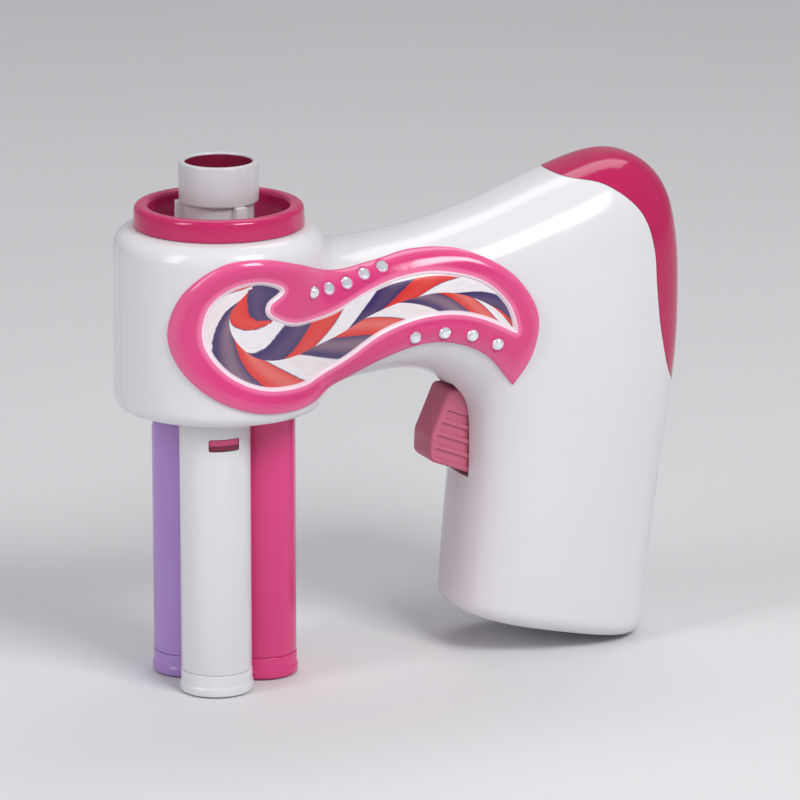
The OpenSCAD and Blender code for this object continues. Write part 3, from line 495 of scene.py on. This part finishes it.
def region(borders, spacing, offsets):
    """Triangles over the area inside the first border and outside the second."""
    def within(points):
        result = inside(borders[0], points)
        for hole in borders[1:]:
            result &= ~inside(hole, points)
        return result

    low, high = borders[0].min(axis=0), borders[0].max(axis=0)
    rows = np.arange(low[1], high[1], spacing * 0.87)
    grid = np.array([(x + k % 2 * spacing / 2, z) for k, z in enumerate(rows)
                     for x in np.arange(low[0], high[0], spacing)])
    clear = np.min([distance(border, grid)[0] for border in borders], axis=0)
    inner = [grid[within(grid) & (clear > offsets[-1] + 0.4 * spacing)]]
    for border in borders:
        along = np.roll(border, -1, axis=0) - np.roll(border, 1, axis=0)
        normal = np.stack((-along[:, 1], along[:, 0]), axis=1) / np.linalg.norm(along, axis=1)[:, None]
        for offset in offsets:
            for ring in (border + offset * normal, border - offset * normal):
                clear = np.min([distance(other, ring)[0] for other in borders], axis=0)
                inner.append(ring[within(ring) & (clear > 0.97 * offset)])
    points, edges = list(np.concatenate(borders)), []
    start = 0
    for border in borders:
        n = len(border)
        edges += [(start + k, start + (k + 1) % n) for k in range(n)]
        start += n
    points += list(np.concatenate(inner))
    verts, _, faces, _, _, _ = delaunay_2d_cdt([Vector(map(float, p)) for p in points], edges, [], 0, 1e-5)
    verts = np.array([(v.x, v.y) for v in verts])
    faces = np.array([face for face in faces if len(face) == 3])
    return verts, faces[within(verts[faces].mean(axis=1))]


skin_tree = BVHTree.FromObject(skin, bpy.context.evaluated_depsgraph_get())
skin_normals = numbers(skin.data.vertices, "normal", 3)


def on_skin(x, z):
    """The skin's point and normal under (x, z) on the near side."""
    hit, _, index, _ = skin_tree.ray_cast(Vector((x, -60, z)), Vector((0, 1, 0)))
    corners = list(skin.data.polygons[index].vertices)
    weights = poly_3d_calc([skin.data.vertices[v].co for v in corners], hit)
    normal = sum((Vector(map(float, skin_normals[v])) * w for v, w in zip(corners, weights)), Vector())
    return hit, normal.normalized()


def overlay(name, verts, faces, lift, sink):
    """A closed sheet over the skin: its top lies lift above it, its underside sink below."""
    seats = [on_skin(x, z) for x, z in verts]
    top = [p + n * h for (p, n), h in zip(seats, lift)]
    low = [p - n * sink for p, n in seats]
    n = len(verts)
    edges = dict.fromkeys((a, b) for face in faces for a, b in zip(face, np.roll(face, -1)))
    walls = [(a, b, n + b, n + a) for a, b in edges if (b, a) not in edges]
    return make(name, top + low, [tuple(f) for f in faces] + [tuple(n + f[::-1]) for f in faces] + walls)


def attribute(obj, name, *columns):
    """Keeps up to three numbers for every vertex, for the material to read."""
    values = np.zeros((len(obj.data.vertices), 3), np.float32)
    for k, column in enumerate(columns):
        values[:, k] = np.resize(column, len(values))
    obj.data.attributes.new(name, "FLOAT_VECTOR", "POINT").data.foreach_set("vector", values.ravel())


trim_border = np.array(curve(TRIM_LINE, 10)[:-1])
window_border = np.array(curve(WINDOW_LINE, 10)[:-1])
spacing = 0.45
verts, faces = region([trim_border, window_border], spacing, (0.1, 0.25, 0.45, 0.75, 1.15, 1.6))
to_outer, to_inner = distance(trim_border, verts)[0], distance(window_border, verts)[0]
across = to_outer / (to_outer + to_inner)
rise = np.clip(across / RIDGE, 0, 1)
fall = np.clip((across - RIDGE) / (1 - RIDGE), 0, 1)
form = np.where(across < RIDGE, np.sqrt(1 - (1 - rise) ** 2), 1 - 0.62 * fall ** 1.25)
soften = np.clip(np.minimum(to_outer, to_inner) / 0.45, 0, 1)
lift = 0.15 + (TRIM_H - 0.2) * form * (0.45 + 0.55 * np.sqrt(1 - (1 - soften) ** 2))
trim = overlay("swoosh_trim.band", verts, faces, lift, TRIM_SINK)
attribute(trim, "band", to_inner, across)

verts, faces = region([window_border], 0.8, (0.2, 0.5))
centre = np.array(curve(CENTRE_LINE, 6))
to_centre, along, side = distance(centre, verts, closed=False)
to_edge = distance(window_border, verts)[0]
panel = overlay("plait_panel.sheet", verts, faces, np.full(len(verts), PANEL_LIFT), TRIM_SINK)
attribute(panel, "plait", along, side * to_centre / (to_centre + to_edge + 1e-6), to_edge)


def gem_form():
    """A round cut stone seen from above: girdle, eight main facets, star facets and table."""
    rings = [(0.98, -0.35, 16, 0), (1.0, 0.1, 16, 0), (0.82, 0.42, 16, 0.5), (0.56, 0.66, 8, 0)]
    verts = []
    for radius, z, count, turn in rings:
        verts += [(x, y, GEM_R * z) for x, y in circle(GEM_R * radius, count, turn=turn)]
    shape = bmesh.new()
    for v in verts:
        shape.verts.new(v)
    bmesh.ops.convex_hull(shape, input=shape.verts)
    bmesh.ops.dissolve_limit(shape, angle_limit=0.01, verts=shape.verts, edges=shape.edges)
    mesh = bpy.data.meshes.new("stone")
    shape.to_mesh(mesh)
    shape.free()
    return link("stone", mesh)


def bezel_form():
    """The thin ring that holds a stone."""
    inner, outer = GEM_R * 0.96, GEM_R + BEZEL_W
    profile = [(inner, -0.8, 0), (outer, -0.8, 0), (outer, BEZEL_TOP, 0.14), (inner, BEZEL_TOP, 0.14)]
    return lathe("bezel", fillet(profile, 4), 32)


def set_on_skin(obj, x, z, lift):
    """Moves a form drawn round the origin, +Z up, to stand on the near side's skin."""
    place, normal = on_skin(x, z)
    turn = normal.to_track_quat("Z", "Y").to_matrix().to_4x4()
    obj.data.transform(Matrix.Translation(place + normal * lift) @ turn)
    return obj


def join(name, objs):
    """One object from several, whose meshes stay as they are."""
    shape = bmesh.new()
    for obj in objs:
        shape.from_mesh(obj.data)
        bpy.data.objects.remove(obj)
    mesh = bpy.data.meshes.new(name)
    shape.to_mesh(mesh)
    shape.free()
    return link(name, mesh)


trim_tree = BVHTree.FromObject(trim, bpy.context.evaluated_depsgraph_get())
stones, bezels = [], []
for x, z in GEMS + UPPER_GEMS:
    place, normal = on_skin(x, z)
    top = trim_tree.ray_cast(place + normal * 5, -normal)[0]
    level = min((top - place).length, TRIM_H)
    stones.append(set_on_skin(gem_form(), x, z, level - GEM_SINK))
    bezels.append(set_on_skin(bezel_form(), x, z, level - BEZEL_SINK))
gems = join("gem_studs.stones", stones)
bezel = join("swoosh_trim.bezels", bezels)


# ---------------------------------------------------------------------------
# Turned pieces: collar, nozzle, hair tubes and their foot rings
# ---------------------------------------------------------------------------
low, seat, top = ROTOR_TOP + 2.4, HEAD_TOP + FIT, HEAD_TOP + COLLAR_H
collar = lathe("head_collar.ring", fillet([
    (COLLAR_IN, low, 0.3), (SKIRT_R, low, 0), (SKIRT_R, seat, 0),
    (COLLAR_R, seat, 0.35), (COLLAR_R - 0.25, top, 1.25), (COLLAR_IN, top, 1.1)], 8), 200)
skirt = lathe("head_collar.skirt", fillet([
    (NECK_R + RUN, SKIRT_LOW, 0.2), (SKIRT_R, SKIRT_LOW, 0.2),
    (SKIRT_R, LIP_LOW, 0), (LIP_R, LIP_LOW, 0.2), (LIP_R, LIP_TOP, 0.2), (SKIRT_R, LIP_TOP, 0),
    (SKIRT_R, SKIRT_TOP, 0), (NECK_R + RUN, SKIRT_TOP, 0)], 4), 200)
combine(collar, "UNION", skirt)

low = ROTOR_TOP + FIT
flange = low + 1.95
nozzle = lathe("hair_nozzle.cup", fillet([
    (NECK_IN - 2.6, low - 2.5, 0.3), (NECK_IN - FIT, low - 2.5, 0.4), (NECK_IN - FIT, low, 0),
    (NECK_R - FIT, low, 0), (NECK_R - FIT, flange, 0.4), (THROAT + 1.4, flange, 0.5),
    (THROAT + 1.4, CUP_Z, 0.5), (NOZZLE_R - 0.1, CUP_Z, 0.7), (NOZZLE_R, NOZZLE_TOP, 0.5),
    (CUP_IN, NOZZLE_TOP, 0.5), (CUP_IN, CUP_Z + 2.5, 0.8), (THROAT, CUP_Z + 0.8, 0.8),
    (THROAT, flange, 0.6)], 6), 160)
tabs = []
for degrees in (40, 160, 280):
    tab = prism("tab", fillet([(THROAT + 0.9, ROTOR_TOP + 1.6, 0), (THROAT + 3.6, ROTOR_TOP + 1.6, 0),
                               (THROAT + 3.4, CUP_Z + 0.2, 0), (THROAT + 0.9, CUP_Z + 0.2, 0)]), -1.4, 1.4)
    edge = tab.modifiers.new("edge", "BEVEL")
    edge.width, edge.segments = 0.3, 3
    bake(tab).data.transform(Matrix.Rotation(math.radians(degrees), 4, "Z"))
    tabs.append(tab)
combine(nozzle, "UNION", *tabs)


def to_tube_axis(obj, angle):
    """Moves a form drawn round the origin to the tube that stands at this angle."""
    turn = Matrix.Rotation(math.radians(angle), 4, "Z")
    obj.data.transform(turn @ Matrix.Translation((TUBE_PITCH, 0, 0)))
    return obj


def hair_tube(name, angle):
    """A plain tube with a window that its latch snaps into."""
    tube = lathe(name, fillet(corners_of(TUBE_IN, TUBE_R, FOOT_H + FIT, TUBE_TOP, 0.3), 4), 128)
    w, low, high = LATCH_W / 2, LATCH_Z - LATCH_H / 2, LATCH_Z + LATCH_H / 2
    window = prism("window", fillet(corners_of(-w, w, low, high, 0.5)), STRAND_R, 12)
    window.data.transform(Matrix.Rotation(math.radians(LATCH_TURN - 90), 4, "Z"))
    return to_tube_axis(combine(tube, "DIFFERENCE", window), angle)


def tube_foot(name, angle):
    """The ring on which a tube stands, with a spigot that reaches into it."""
    bore, spigot, spigot_top = STRAND_R + 0.2, TUBE_IN - FIT, FOOT_H + 4
    foot = lathe(name, fillet([
        (bore, 0, 0.6), (FOOT_R, 0, 0.5), (FOOT_R, 1.7, 0.3), (TUBE_R + 0.1, 2.3, 0.6),
        (TUBE_R + 0.08, FOOT_H, 0.25), (spigot, FOOT_H, 0), (spigot, spigot_top, 0.3),
        (bore, spigot_top, 0.3)], 5), 128)
    return to_tube_axis(foot, angle)


# ---------------------------------------------------------------------------
# Trigger and screws
# ---------------------------------------------------------------------------
def trigger_form():
    """The lever with rounded edges and a row of pockets in both sides."""
    half_w = TRIGGER_W / 2
    outline = fillet([(x, z, r) for (x, z), r in zip(TRIGGER_OUTLINE, TRIGGER_RADII)], 8)
    form = prism("trigger.lever", outline, -half_w, half_w)
    edge = form.modifiers.new("edge", "BEVEL")
    edge.width, edge.segments, edge.limit_method, edge.angle_limit = 0.8, 5, "ANGLE", math.radians(60)
    bake(form)
    combine(form, "UNION", rod("hub", PIVOT, 3.2, -half_w, half_w, 64))
    c, s = math.cos(POCKET_TILT), math.sin(POCKET_TILT)
    low_x, low_z = TRIGGER_OUTLINE[3]
    floor = half_w - POCKET_DEPTH
    cuts = [rod("bore", PIVOT, 1.57, -6, 6)]
    for low in POCKET_LOWS:
        high = low + POCKET_W
        front = [np.interp(v, *POCKET_FRONT) + POCKET_WALL for v in (low, high)]
        corners = [(front[0], low, 0.5), (9, low, 0.5), (9, high, 0.5), (front[1], high, 0.5)]
        line = [(low_x + u * c + v * s, low_z - u * s + v * c) for u, v in fillet(corners)]
        cuts += [prism("pocket", line, -6, -floor), prism("pocket", line, floor, 6)]
    return combine(form, "DIFFERENCE", *cuts)


def screw(at, seat, tip):
    """A pan head with a cross recess on its shank, pointing to -Y."""
    end = tip - seat
    head = lathe("screw", [(0, 1.6), (1.2, 1.52), (1.9, 1.2), (2.2, 0.7), (2.3, 0.15), (2.25, 0), (1.15, 0),
                           (1.15, end + 0.8), (0.5, end), (0, end)], 48)
    arms = [prism("arm", fillet([(-1.25, 0.55, 0), (1.25, 0.55, 0), (1.4, 2, 0), (-1.4, 2, 0)]), -0.24, 0.24)
            for _ in range(2)]
    arms[1].data.transform(Matrix.Rotation(math.pi / 2, 4, "Z"))
    combine(head, "DIFFERENCE", *arms)
    turn = Matrix.Rotation(math.radians(37 * at[0] % 90), 4, "Z")       # every recess stands its own way
    lay = Matrix.Rotation(-math.pi / 2, 4, "X")
    head.data.transform(Matrix.Translation((at[0], seat, at[1])) @ lay @ turn)
    return head


trigger = trigger_form()
screws = join("housing_screws.set", [screw(at, SEAT_Y, SCREW_TIP) for at in SCREWS])
door_screw = screw(door_screw_at, DOOR_SEAT_Y, DOOR_SCREW_TIP)
door_screw.name = "door_screw.head"
bpy.data.objects.remove(skin)


# ---------------------------------------------------------------------------
# Materials
# ---------------------------------------------------------------------------
def rgb(*levels):
    """An sRGB colour of 0 to 255 as Blender's linear RGBA."""
    linear = [c / 255 / 12.92 if c <= 10 else ((c / 255 + 0.055) / 1.055) ** 2.4 for c in levels]
    return (*linear, 1)


class Shader:
    """A material and short ways to build its nodes."""

    def __init__(self, name):
        self.material = bpy.data.materials.new(name)
        self.material.use_nodes = True
        self.tree = self.material.node_tree
        self.surface = self.tree.nodes["Principled BSDF"]
        self.place = self.node("ShaderNodeTexCoord").outputs["Object"]

    def put(self, socket, value):
        if isinstance(value, bpy.types.NodeSocket):
            self.tree.links.new(value, socket)
        else:
            socket.default_value = value

    def node(self, kind, inputs=(), **settings):
        node = self.tree.nodes.new(kind)
        for key, value in settings.items():
            setattr(node, key, value)
        for key, value in dict(inputs).items():
            self.put(node.inputs[key], value)
        return node

    def math(self, operation, *values):
        node = self.node("ShaderNodeMath", operation=operation)
        for socket, value in zip(node.inputs, values):
            self.put(socket, value)
        return node.outputs[0]

    def parts(self, vector):
        """The X, Y and Z of a vector."""
        return self.node("ShaderNodeSeparateXYZ", {"Vector": vector}).outputs

    def kept(self, name):
        """The three numbers that attribute() kept under this name."""
        return self.parts(self.node("ShaderNodeAttribute", attribute_name=name).outputs["Vector"])

    def noise(self, scale, detail=2, place=None):
        inputs = {"Vector": place or self.place, "Scale": scale, "Detail": detail}
        return self.node("ShaderNodeTexNoise", inputs).outputs["Fac"]

    def remap(self, value, low, high, to_low, to_high):
        return self.node("ShaderNodeMapRange", {"Value": value, "From Min": low, "From Max": high,
                                                "To Min": to_low, "To Max": to_high}).outputs[0]

    def mix(self, factor, first, second):
        node = self.node("ShaderNodeMix", data_type="RGBA")
        for index, value in ((0, factor), (6, first), (7, second)):
            self.put(node.inputs[index], value)
        return node.outputs[2]

    def bump(self, height, depth, normal=None):
        node = self.node("ShaderNodeBump", {"Height": height, "Distance": depth, "Strength": 1.0})
        if normal:
            self.put(node.inputs["Normal"], normal)
        return node.outputs["Normal"]

    def set(self, **sockets):
        for key, value in sockets.items():
            self.put(self.surface.inputs[key.replace("_", " ")], value)
        return self.material


def plastic(name, colour, gloss, shade=0.94, peel=3e-6, scatter=0.0):
    """Moulded plastic: faint flow marks, uneven polish and an orange peel skin."""
    s = Shader(name)
    flow = s.remap(s.noise(26, 3), 0.3, 0.7, 0, 1)
    dark = tuple(c * shade for c in colour[:3]) + (1,)
    polish = s.remap(s.noise(180, 4), 0.25, 0.75, gloss * 0.8, gloss * 1.3)
    skin_bump = s.bump(s.noise(420, 2), peel)
    fine = s.bump(s.noise(5200, 1), peel * 0.12, skin_bump)
    s.set(Base_Color=s.mix(flow, dark, colour), Roughness=polish, Normal=fine, IOR=1.5)
    if scatter:
        s.set(Subsurface_Weight=scatter, Subsurface_Radius=(1, 0.8, 0.8), Subsurface_Scale=0.0012)
    return s.material


def metal(name, colour, gloss, grain_axis=2):
    """Drawn or turned metal, with fine lines across the given axis."""
    s = Shader(name)
    stretch = [2600, 2600, 2600]
    stretch[grain_axis] = 90
    lines = s.node("ShaderNodeMapping", {"Vector": s.place, "Scale": tuple(stretch)}).outputs[0]
    grain = s.noise(1, 3, lines)
    tarnish = s.remap(s.noise(90, 3), 0.3, 0.7, 0, 1)
    dull = tuple(c * 0.82 for c in colour[:3]) + (1,)
    return s.set(Base_Color=s.mix(tarnish, dull, colour), Metallic=1.0,
                 Roughness=s.remap(grain, 0.3, 0.7, gloss * 0.8, gloss * 1.25), Normal=s.bump(grain, 2e-6))


def band_material():
    """The pink band: a thin pale line along the window, a lighter flank beside it, and a painted highlight on the
    outer flank, from the band's outer edge to its crest.
    """
    s = Shader("band_pink")
    inner, across, _ = s.kept("band")
    flow = s.remap(s.noise(30, 3), 0.3, 0.7, 0, 1)
    base = s.mix(flow, rgb(214, 52, 118), rgb(222, 62, 128))
    # Painted highlight: the outer flank, from the band's outer edge to its crest, is mixed towards a pale pink, as
    # if it caught the lamps.
    painted_light_flank = s.remap(across, RIDGE - 0.3, RIDGE + 0.02, 0.6, 0)
    base = s.mix(painted_light_flank, base, rgb(240, 110, 160))
    base = s.mix(s.remap(inner, 1.7, 0.9, 0, 0.8), base, rgb(243, 124, 170))
    base = s.mix(s.remap(inner, 0.55, 0.4, 0, 1), base, rgb(252, 222, 234))
    polish = s.remap(s.noise(200, 4), 0.25, 0.75, 0.13, 0.22)
    return s.set(Base_Color=base, Roughness=polish, IOR=1.5, Normal=s.bump(s.noise(420, 2), 3e-6),
                 Coat_Weight=0.35, Coat_Roughness=0.06)


def plait_material():
    """A generic three-strand plait, printed: rows of slanted leaves either side of the middle."""
    s = Shader("plait_print")
    along, across, edge = s.kept("plait")
    far = s.math("POWER", s.math("ABSOLUTE", across), 0.8)
    upper = s.math("GREATER_THAN", across, 0)
    # One step is one leaf, 9.4 mm along the plait. Leaves slant outwards, and the two sides
    # are one and a half leaves apart.
    step = s.math("ADD", s.math("MULTIPLY", along, 1 / 9.4), s.math("MULTIPLY", far, 1.15))
    step = s.math("ADD", step, s.math("MULTIPLY", upper, 1.5))
    leaf = s.math("FRACT", step)
    order = s.math("FLOORED_MODULO", s.math("FLOOR", step), 3)
    ramp = s.node("ShaderNodeValToRGB", {"Fac": s.math("MULTIPLY", s.math("ADD", order, 0.5), 1 / 3)})
    ramp.color_ramp.interpolation = "CONSTANT"
    stops = ramp.color_ramp.elements
    stops[0].color = rgb(222, 38, 26)
    stops[1].position, stops[1].color = 0.34, rgb(48, 30, 96)
    third = stops.new(0.67)
    third.color = rgb(238, 236, 240)
    tone = s.math("ABSOLUTE", s.math("SUBTRACT", leaf, 0.4))
    sheen = s.math("MULTIPLY", s.math("ADD", 0.35, upper), s.remap(tone, 0.45, 0.1, 0.02, 0.16))
    base = s.mix(sheen, ramp.outputs["Color"], rgb(250, 200, 190))
    fine, slow = s.math("MULTIPLY", leaf, 26), s.math("MULTIPLY", along, 0.25)
    hair = s.node("ShaderNodeCombineXYZ", {"X": fine, "Y": slow}).outputs[0]
    base = s.mix(s.remap(s.noise(1, 2, hair), 0.4, 0.75, 0, 0.16), base, rgb(70, 40, 80))
    rim = s.math("MINIMUM", leaf, s.math("SUBTRACT", 1, leaf))
    base = s.mix(s.remap(rim, 0.05, 0.015, 0, 0.6), base, rgb(70, 44, 92))
    base = s.mix(s.remap(edge, 0.5, 0.2, 0, 0.9), base, rgb(250, 238, 244))
    return s.set(Base_Color=base, Roughness=s.remap(s.noise(300, 3), 0.3, 0.7, 0.16, 0.26), IOR=1.5,
                 Normal=s.bump(s.noise(900, 2), 1.5e-6), Coat_Weight=0.5, Coat_Roughness=0.05)


def stone_material():
    """Clear foiled stones, whose facets mirror the studio."""
    s = Shader("cut_stone")
    cloud = s.remap(s.noise(900, 2), 0.3, 0.7, 0.02, 0.07)
    base = s.mix(s.noise(700, 1), rgb(226, 232, 246), rgb(255, 255, 255))
    return s.set(Base_Color=base, Metallic=0.55, Roughness=cloud, IOR=1.6,
                 Coat_Weight=1.0, Coat_Roughness=0.02)


def latch_material():
    """The rotor's pink, in shadow below the middle of the tubes' windows."""
    s = Shader("latch_pink")
    height = s.parts(s.place)["Z"]
    shade = s.remap(height, LATCH_Z / 1000 - 2e-4, LATCH_Z / 1000 + 1e-4, 1, 0)
    base = s.mix(shade, s.mix(s.noise(60, 3), rgb(206, 62, 118), rgb(220, 78, 132)), rgb(124, 18, 58))
    return s.set(Base_Color=base, Roughness=s.remap(s.noise(180, 4), 0.25, 0.75, 0.18, 0.3), IOR=1.5,
                 Normal=s.bump(s.noise(420, 2), 3e-6))


def sleeve_material():
    """A cell's plain sleeve: dark with one warm band, under a thin film."""
    s = Shader("cell_sleeve")
    height = s.parts(s.place)["Z"]
    band = s.remap(height, 0.0455, 0.0457, 0, 1)
    base = s.mix(band, rgb(38, 40, 46), rgb(176, 122, 62))
    return s.set(Base_Color=base, Metallic=0.5, Roughness=s.remap(s.noise(240, 3), 0.3, 0.7, 0.24, 0.36),
                 Normal=s.bump(s.noise(380, 2), 4e-6), Coat_Weight=0.4, Coat_Roughness=0.15)


LOOKS = {
    "white_plastic": plastic("white_abs", rgb(226, 225, 228), 0.17, 0.975, scatter=0.05),
    "pink_plastic": plastic("pink_abs", rgb(222, 62, 128), 0.2),
    "deep_pink_plastic": plastic("deep_pink_abs", rgb(196, 38, 98), 0.14),
    "dusty_pink_plastic": plastic("dusty_pink_abs", rgb(206, 104, 132), 0.38, 0.92, 6e-6),
    "purple_plastic": plastic("lilac_abs", rgb(176, 138, 206), 0.2, 0.93),
    "grey_plastic": plastic("silver_grey_abs", rgb(206, 204, 208), 0.24, 0.95),
    "natural_plastic": plastic("natural_acetal", rgb(228, 224, 210), 0.42, 0.94, 5e-6, scatter=0.1),
    "black_plastic": plastic("black_abs", rgb(30, 30, 33), 0.45, 0.8, 8e-6),
    "plait_print": plait_material(),
    "gem": stone_material(),
    "screw_steel": metal("zinc_steel", rgb(188, 188, 190), 0.32),
    "shaft_steel": metal("ground_steel", rgb(200, 200, 202), 0.22),
    "motor_steel": metal("plated_can", rgb(182, 183, 186), 0.34),
    "contact_nickel": metal("nickel", rgb(206, 203, 196), 0.2),
    "cell_wrap": sleeve_material(),
    "brass": metal("turned_brass", rgb(196, 160, 88), 0.26)}
# The rear spine's pink is deeper and darker than the pink slot's: partly the spine's own deep pink, partly painted
# shade for the shaded back of the handle.
SPINE_PINK_AND_SHADE = plastic("spine_pink_and_shade", rgb(190, 28, 88), 0.12, 0.9, 2e-6)
# Painted shade: a dark maroon that stands for the shade inside the nozzle's cup.
CUP_PAINTED_SHADE = plastic("cup_painted_shade", rgb(128, 24, 56), 0.3, 0.9)
BAND_LOOK = band_material()
LATCH_LOOK = latch_material()


# ---------------------------------------------------------------------------
# Every piece goes to its place, its body and its looks
# ---------------------------------------------------------------------------
def settle(obj, name, body, slot, nodes, look=None, sharp=32, flat=False):
    """Sets a piece into the shared frame; edges under sharp degrees are shaded smooth."""
    obj.name = obj.data.name = name
    obj.data.transform(PLACE)
    obj.data.materials.clear()
    obj.data.materials.append(look or LOOKS[slot])
    obj.data.polygons.foreach_set("use_smooth", [not flat] * len(obj.data.polygons))
    if not flat:
        obj.data.set_sharp_from_angle(angle=math.radians(sharp))
    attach(obj, body)
    if nodes:
        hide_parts(*nodes)
    return obj


settle(shell_near, "shell_near.skin", "housing", "white_plastic", ["shell_near"])
settle(shell_far, "shell_far.skin", "housing", "white_plastic", ["shell_far"])
settle(spine, "rear_spine.skin", "housing", "pink_plastic", ["rear_spine"], SPINE_PINK_AND_SHADE)
settle(door, "battery_door.skin", "door", "white_plastic", ["battery_door"])
settle(trim, "swoosh_trim.band", "housing", "pink_plastic", ["swoosh_trim"], BAND_LOOK, 50)
settle(bezel, "swoosh_trim.bezels", "housing", "pink_plastic", [], LOOKS["pink_plastic"])
settle(panel, "plait_panel.sheet", "housing", "plait_print", ["plait_panel"])
settle(gems, "gem_studs.stones", "housing", "gem", ["gem_studs"], flat=True)
settle(collar, "head_collar.ring", "housing", "deep_pink_plastic", ["head_collar"])
settle(nozzle, "hair_nozzle.cup", "rotor", "grey_plastic", ["hair_nozzle"])
# Painted shade: the faces inside the cup, below its lip, take the dark maroon.
nozzle.data.materials.append(CUP_PAINTED_SHADE)
shade_r, shade_top = (CUP_IN + 0.06) / 1000, (NOZZLE_TOP - 0.9) / 1000
for face in nozzle.data.polygons:
    x, y, z = face.center
    if math.hypot(x - head_axis.x, y - head_axis.y) < shade_r and z < shade_top:
        face.material_index = 1
for colour, angle in (("pink", 0), ("purple", 120), ("white", 240)):
    slot = colour + "_plastic"
    settle(hair_tube("tube", angle), f"tube_{colour}.tube", "rotor", slot, [f"tube_{colour}"])
    settle(tube_foot("foot", angle), f"foot_{colour}.ring", "rotor", slot, [f"foot_{colour}"])
settle(trigger, "trigger.lever", "trigger", "dusty_pink_plastic", ["trigger"])
settle(screws, "housing_screws.set", "housing", "screw_steel", ["housing_screws"])
settle(door_screw, "door_screw.head", "door", "screw_steel", ["door_screw"])

shown_slots = {part["node"]: part["material_slot"] for part in frame["record"]["subparts"]}
for node, obj in frame["nodes"].items():
    if not obj.hide_render:
        obj.data.materials.clear()
        obj.data.materials.append(LATCH_LOOK if node == "rotor_spigots" else LOOKS[shown_slots[node]])


# ---------------------------------------------------------------------------
# Floor, light and camera
# ---------------------------------------------------------------------------
def backdrop():
    """A pale floor that sweeps up into a wall far behind."""
    sweep = np.linspace(0, math.pi / 2, 24)
    outline = [(-1.6, 0)] + [(1.3 + 0.5 * math.sin(a), 0.5 - 0.5 * math.cos(a)) for a in sweep]
    outline.append((1.8, 3))
    turn = Matrix.Rotation(math.radians(-CAMERA_AZIMUTH), 2)
    verts = []
    for far, high in outline:
        for wide in (-4, 4):
            verts.append((*(turn.transposed() @ Vector((wide, far))), high - 0.0003))
    faces = [(2 * k, 2 * k + 1, 2 * k + 3, 2 * k + 2) for k in range(len(outline) - 1)]
    mesh = bpy.data.meshes.new("floor")
    mesh.from_pydata(verts, [], faces)
    mesh.polygons.foreach_set("use_smooth", [True] * len(faces))
    s = Shader("floor_paper")
    base = s.mix(s.remap(s.noise(3, 2), 0.3, 0.7, 0, 1), rgb(218, 218, 220), rgb(222, 222, 224))
    s.set(Base_Color=base, Roughness=0.75, Normal=s.bump(s.noise(700, 3), 1e-5))
    mesh.materials.append(s.material)
    link("floor", mesh)


def look_from(name, data, azimuth, elevation, reach):
    """A lamp or camera that looks at the object's middle from the given direction."""
    a, e = math.radians(azimuth), math.radians(elevation)
    obj = link(name, data)
    away = Vector((math.sin(a) * math.cos(e), -math.cos(a) * math.cos(e), math.sin(e)))
    obj.location = middle + reach * away
    obj.rotation_euler = (middle - obj.location).to_track_quat("-Z", "Y").to_euler()
    return obj


def lamp(name, azimuth, elevation, reach, wide, high, power):
    """A softbox."""
    light = bpy.data.lights.new(name, "AREA")
    light.shape, light.size, light.size_y, light.energy = "RECTANGLE", wide, high, power
    look_from(name, light, azimuth, elevation, reach)


CAMERA_AZIMUTH, CAMERA_ELEVATION, CAMERA_REACH = -24, 15, 1.385
middle = (cad_box[0] + cad_box[1]) / 2
backdrop()
lamp("key", CAMERA_AZIMUTH + 38, 44, 1.1, 0.42, 0.42, 7)
lamp("fill", CAMERA_AZIMUTH - 52, 32, 1.2, 0.3, 0.8, 4)
lamp("top", CAMERA_AZIMUTH + 175, 60, 1.2, 0.9, 0.45, 3.2)

world = bpy.data.worlds.new("studio")
world.use_nodes = True
world.node_tree.nodes["Background"].inputs["Color"].default_value = rgb(240, 240, 244)
world.node_tree.nodes["Background"].inputs["Strength"].default_value = 0.38
bpy.context.scene.world = world
bpy.context.scene.view_settings.view_transform = "Standard"

lens = bpy.data.cameras.new("camera")
lens.lens, lens.sensor_width = 269, 36
lens.clip_start, lens.clip_end = 0.05, 20
camera = look_from("camera", lens, CAMERA_AZIMUTH, CAMERA_ELEVATION, CAMERA_REACH)
bpy.context.scene.camera = camera
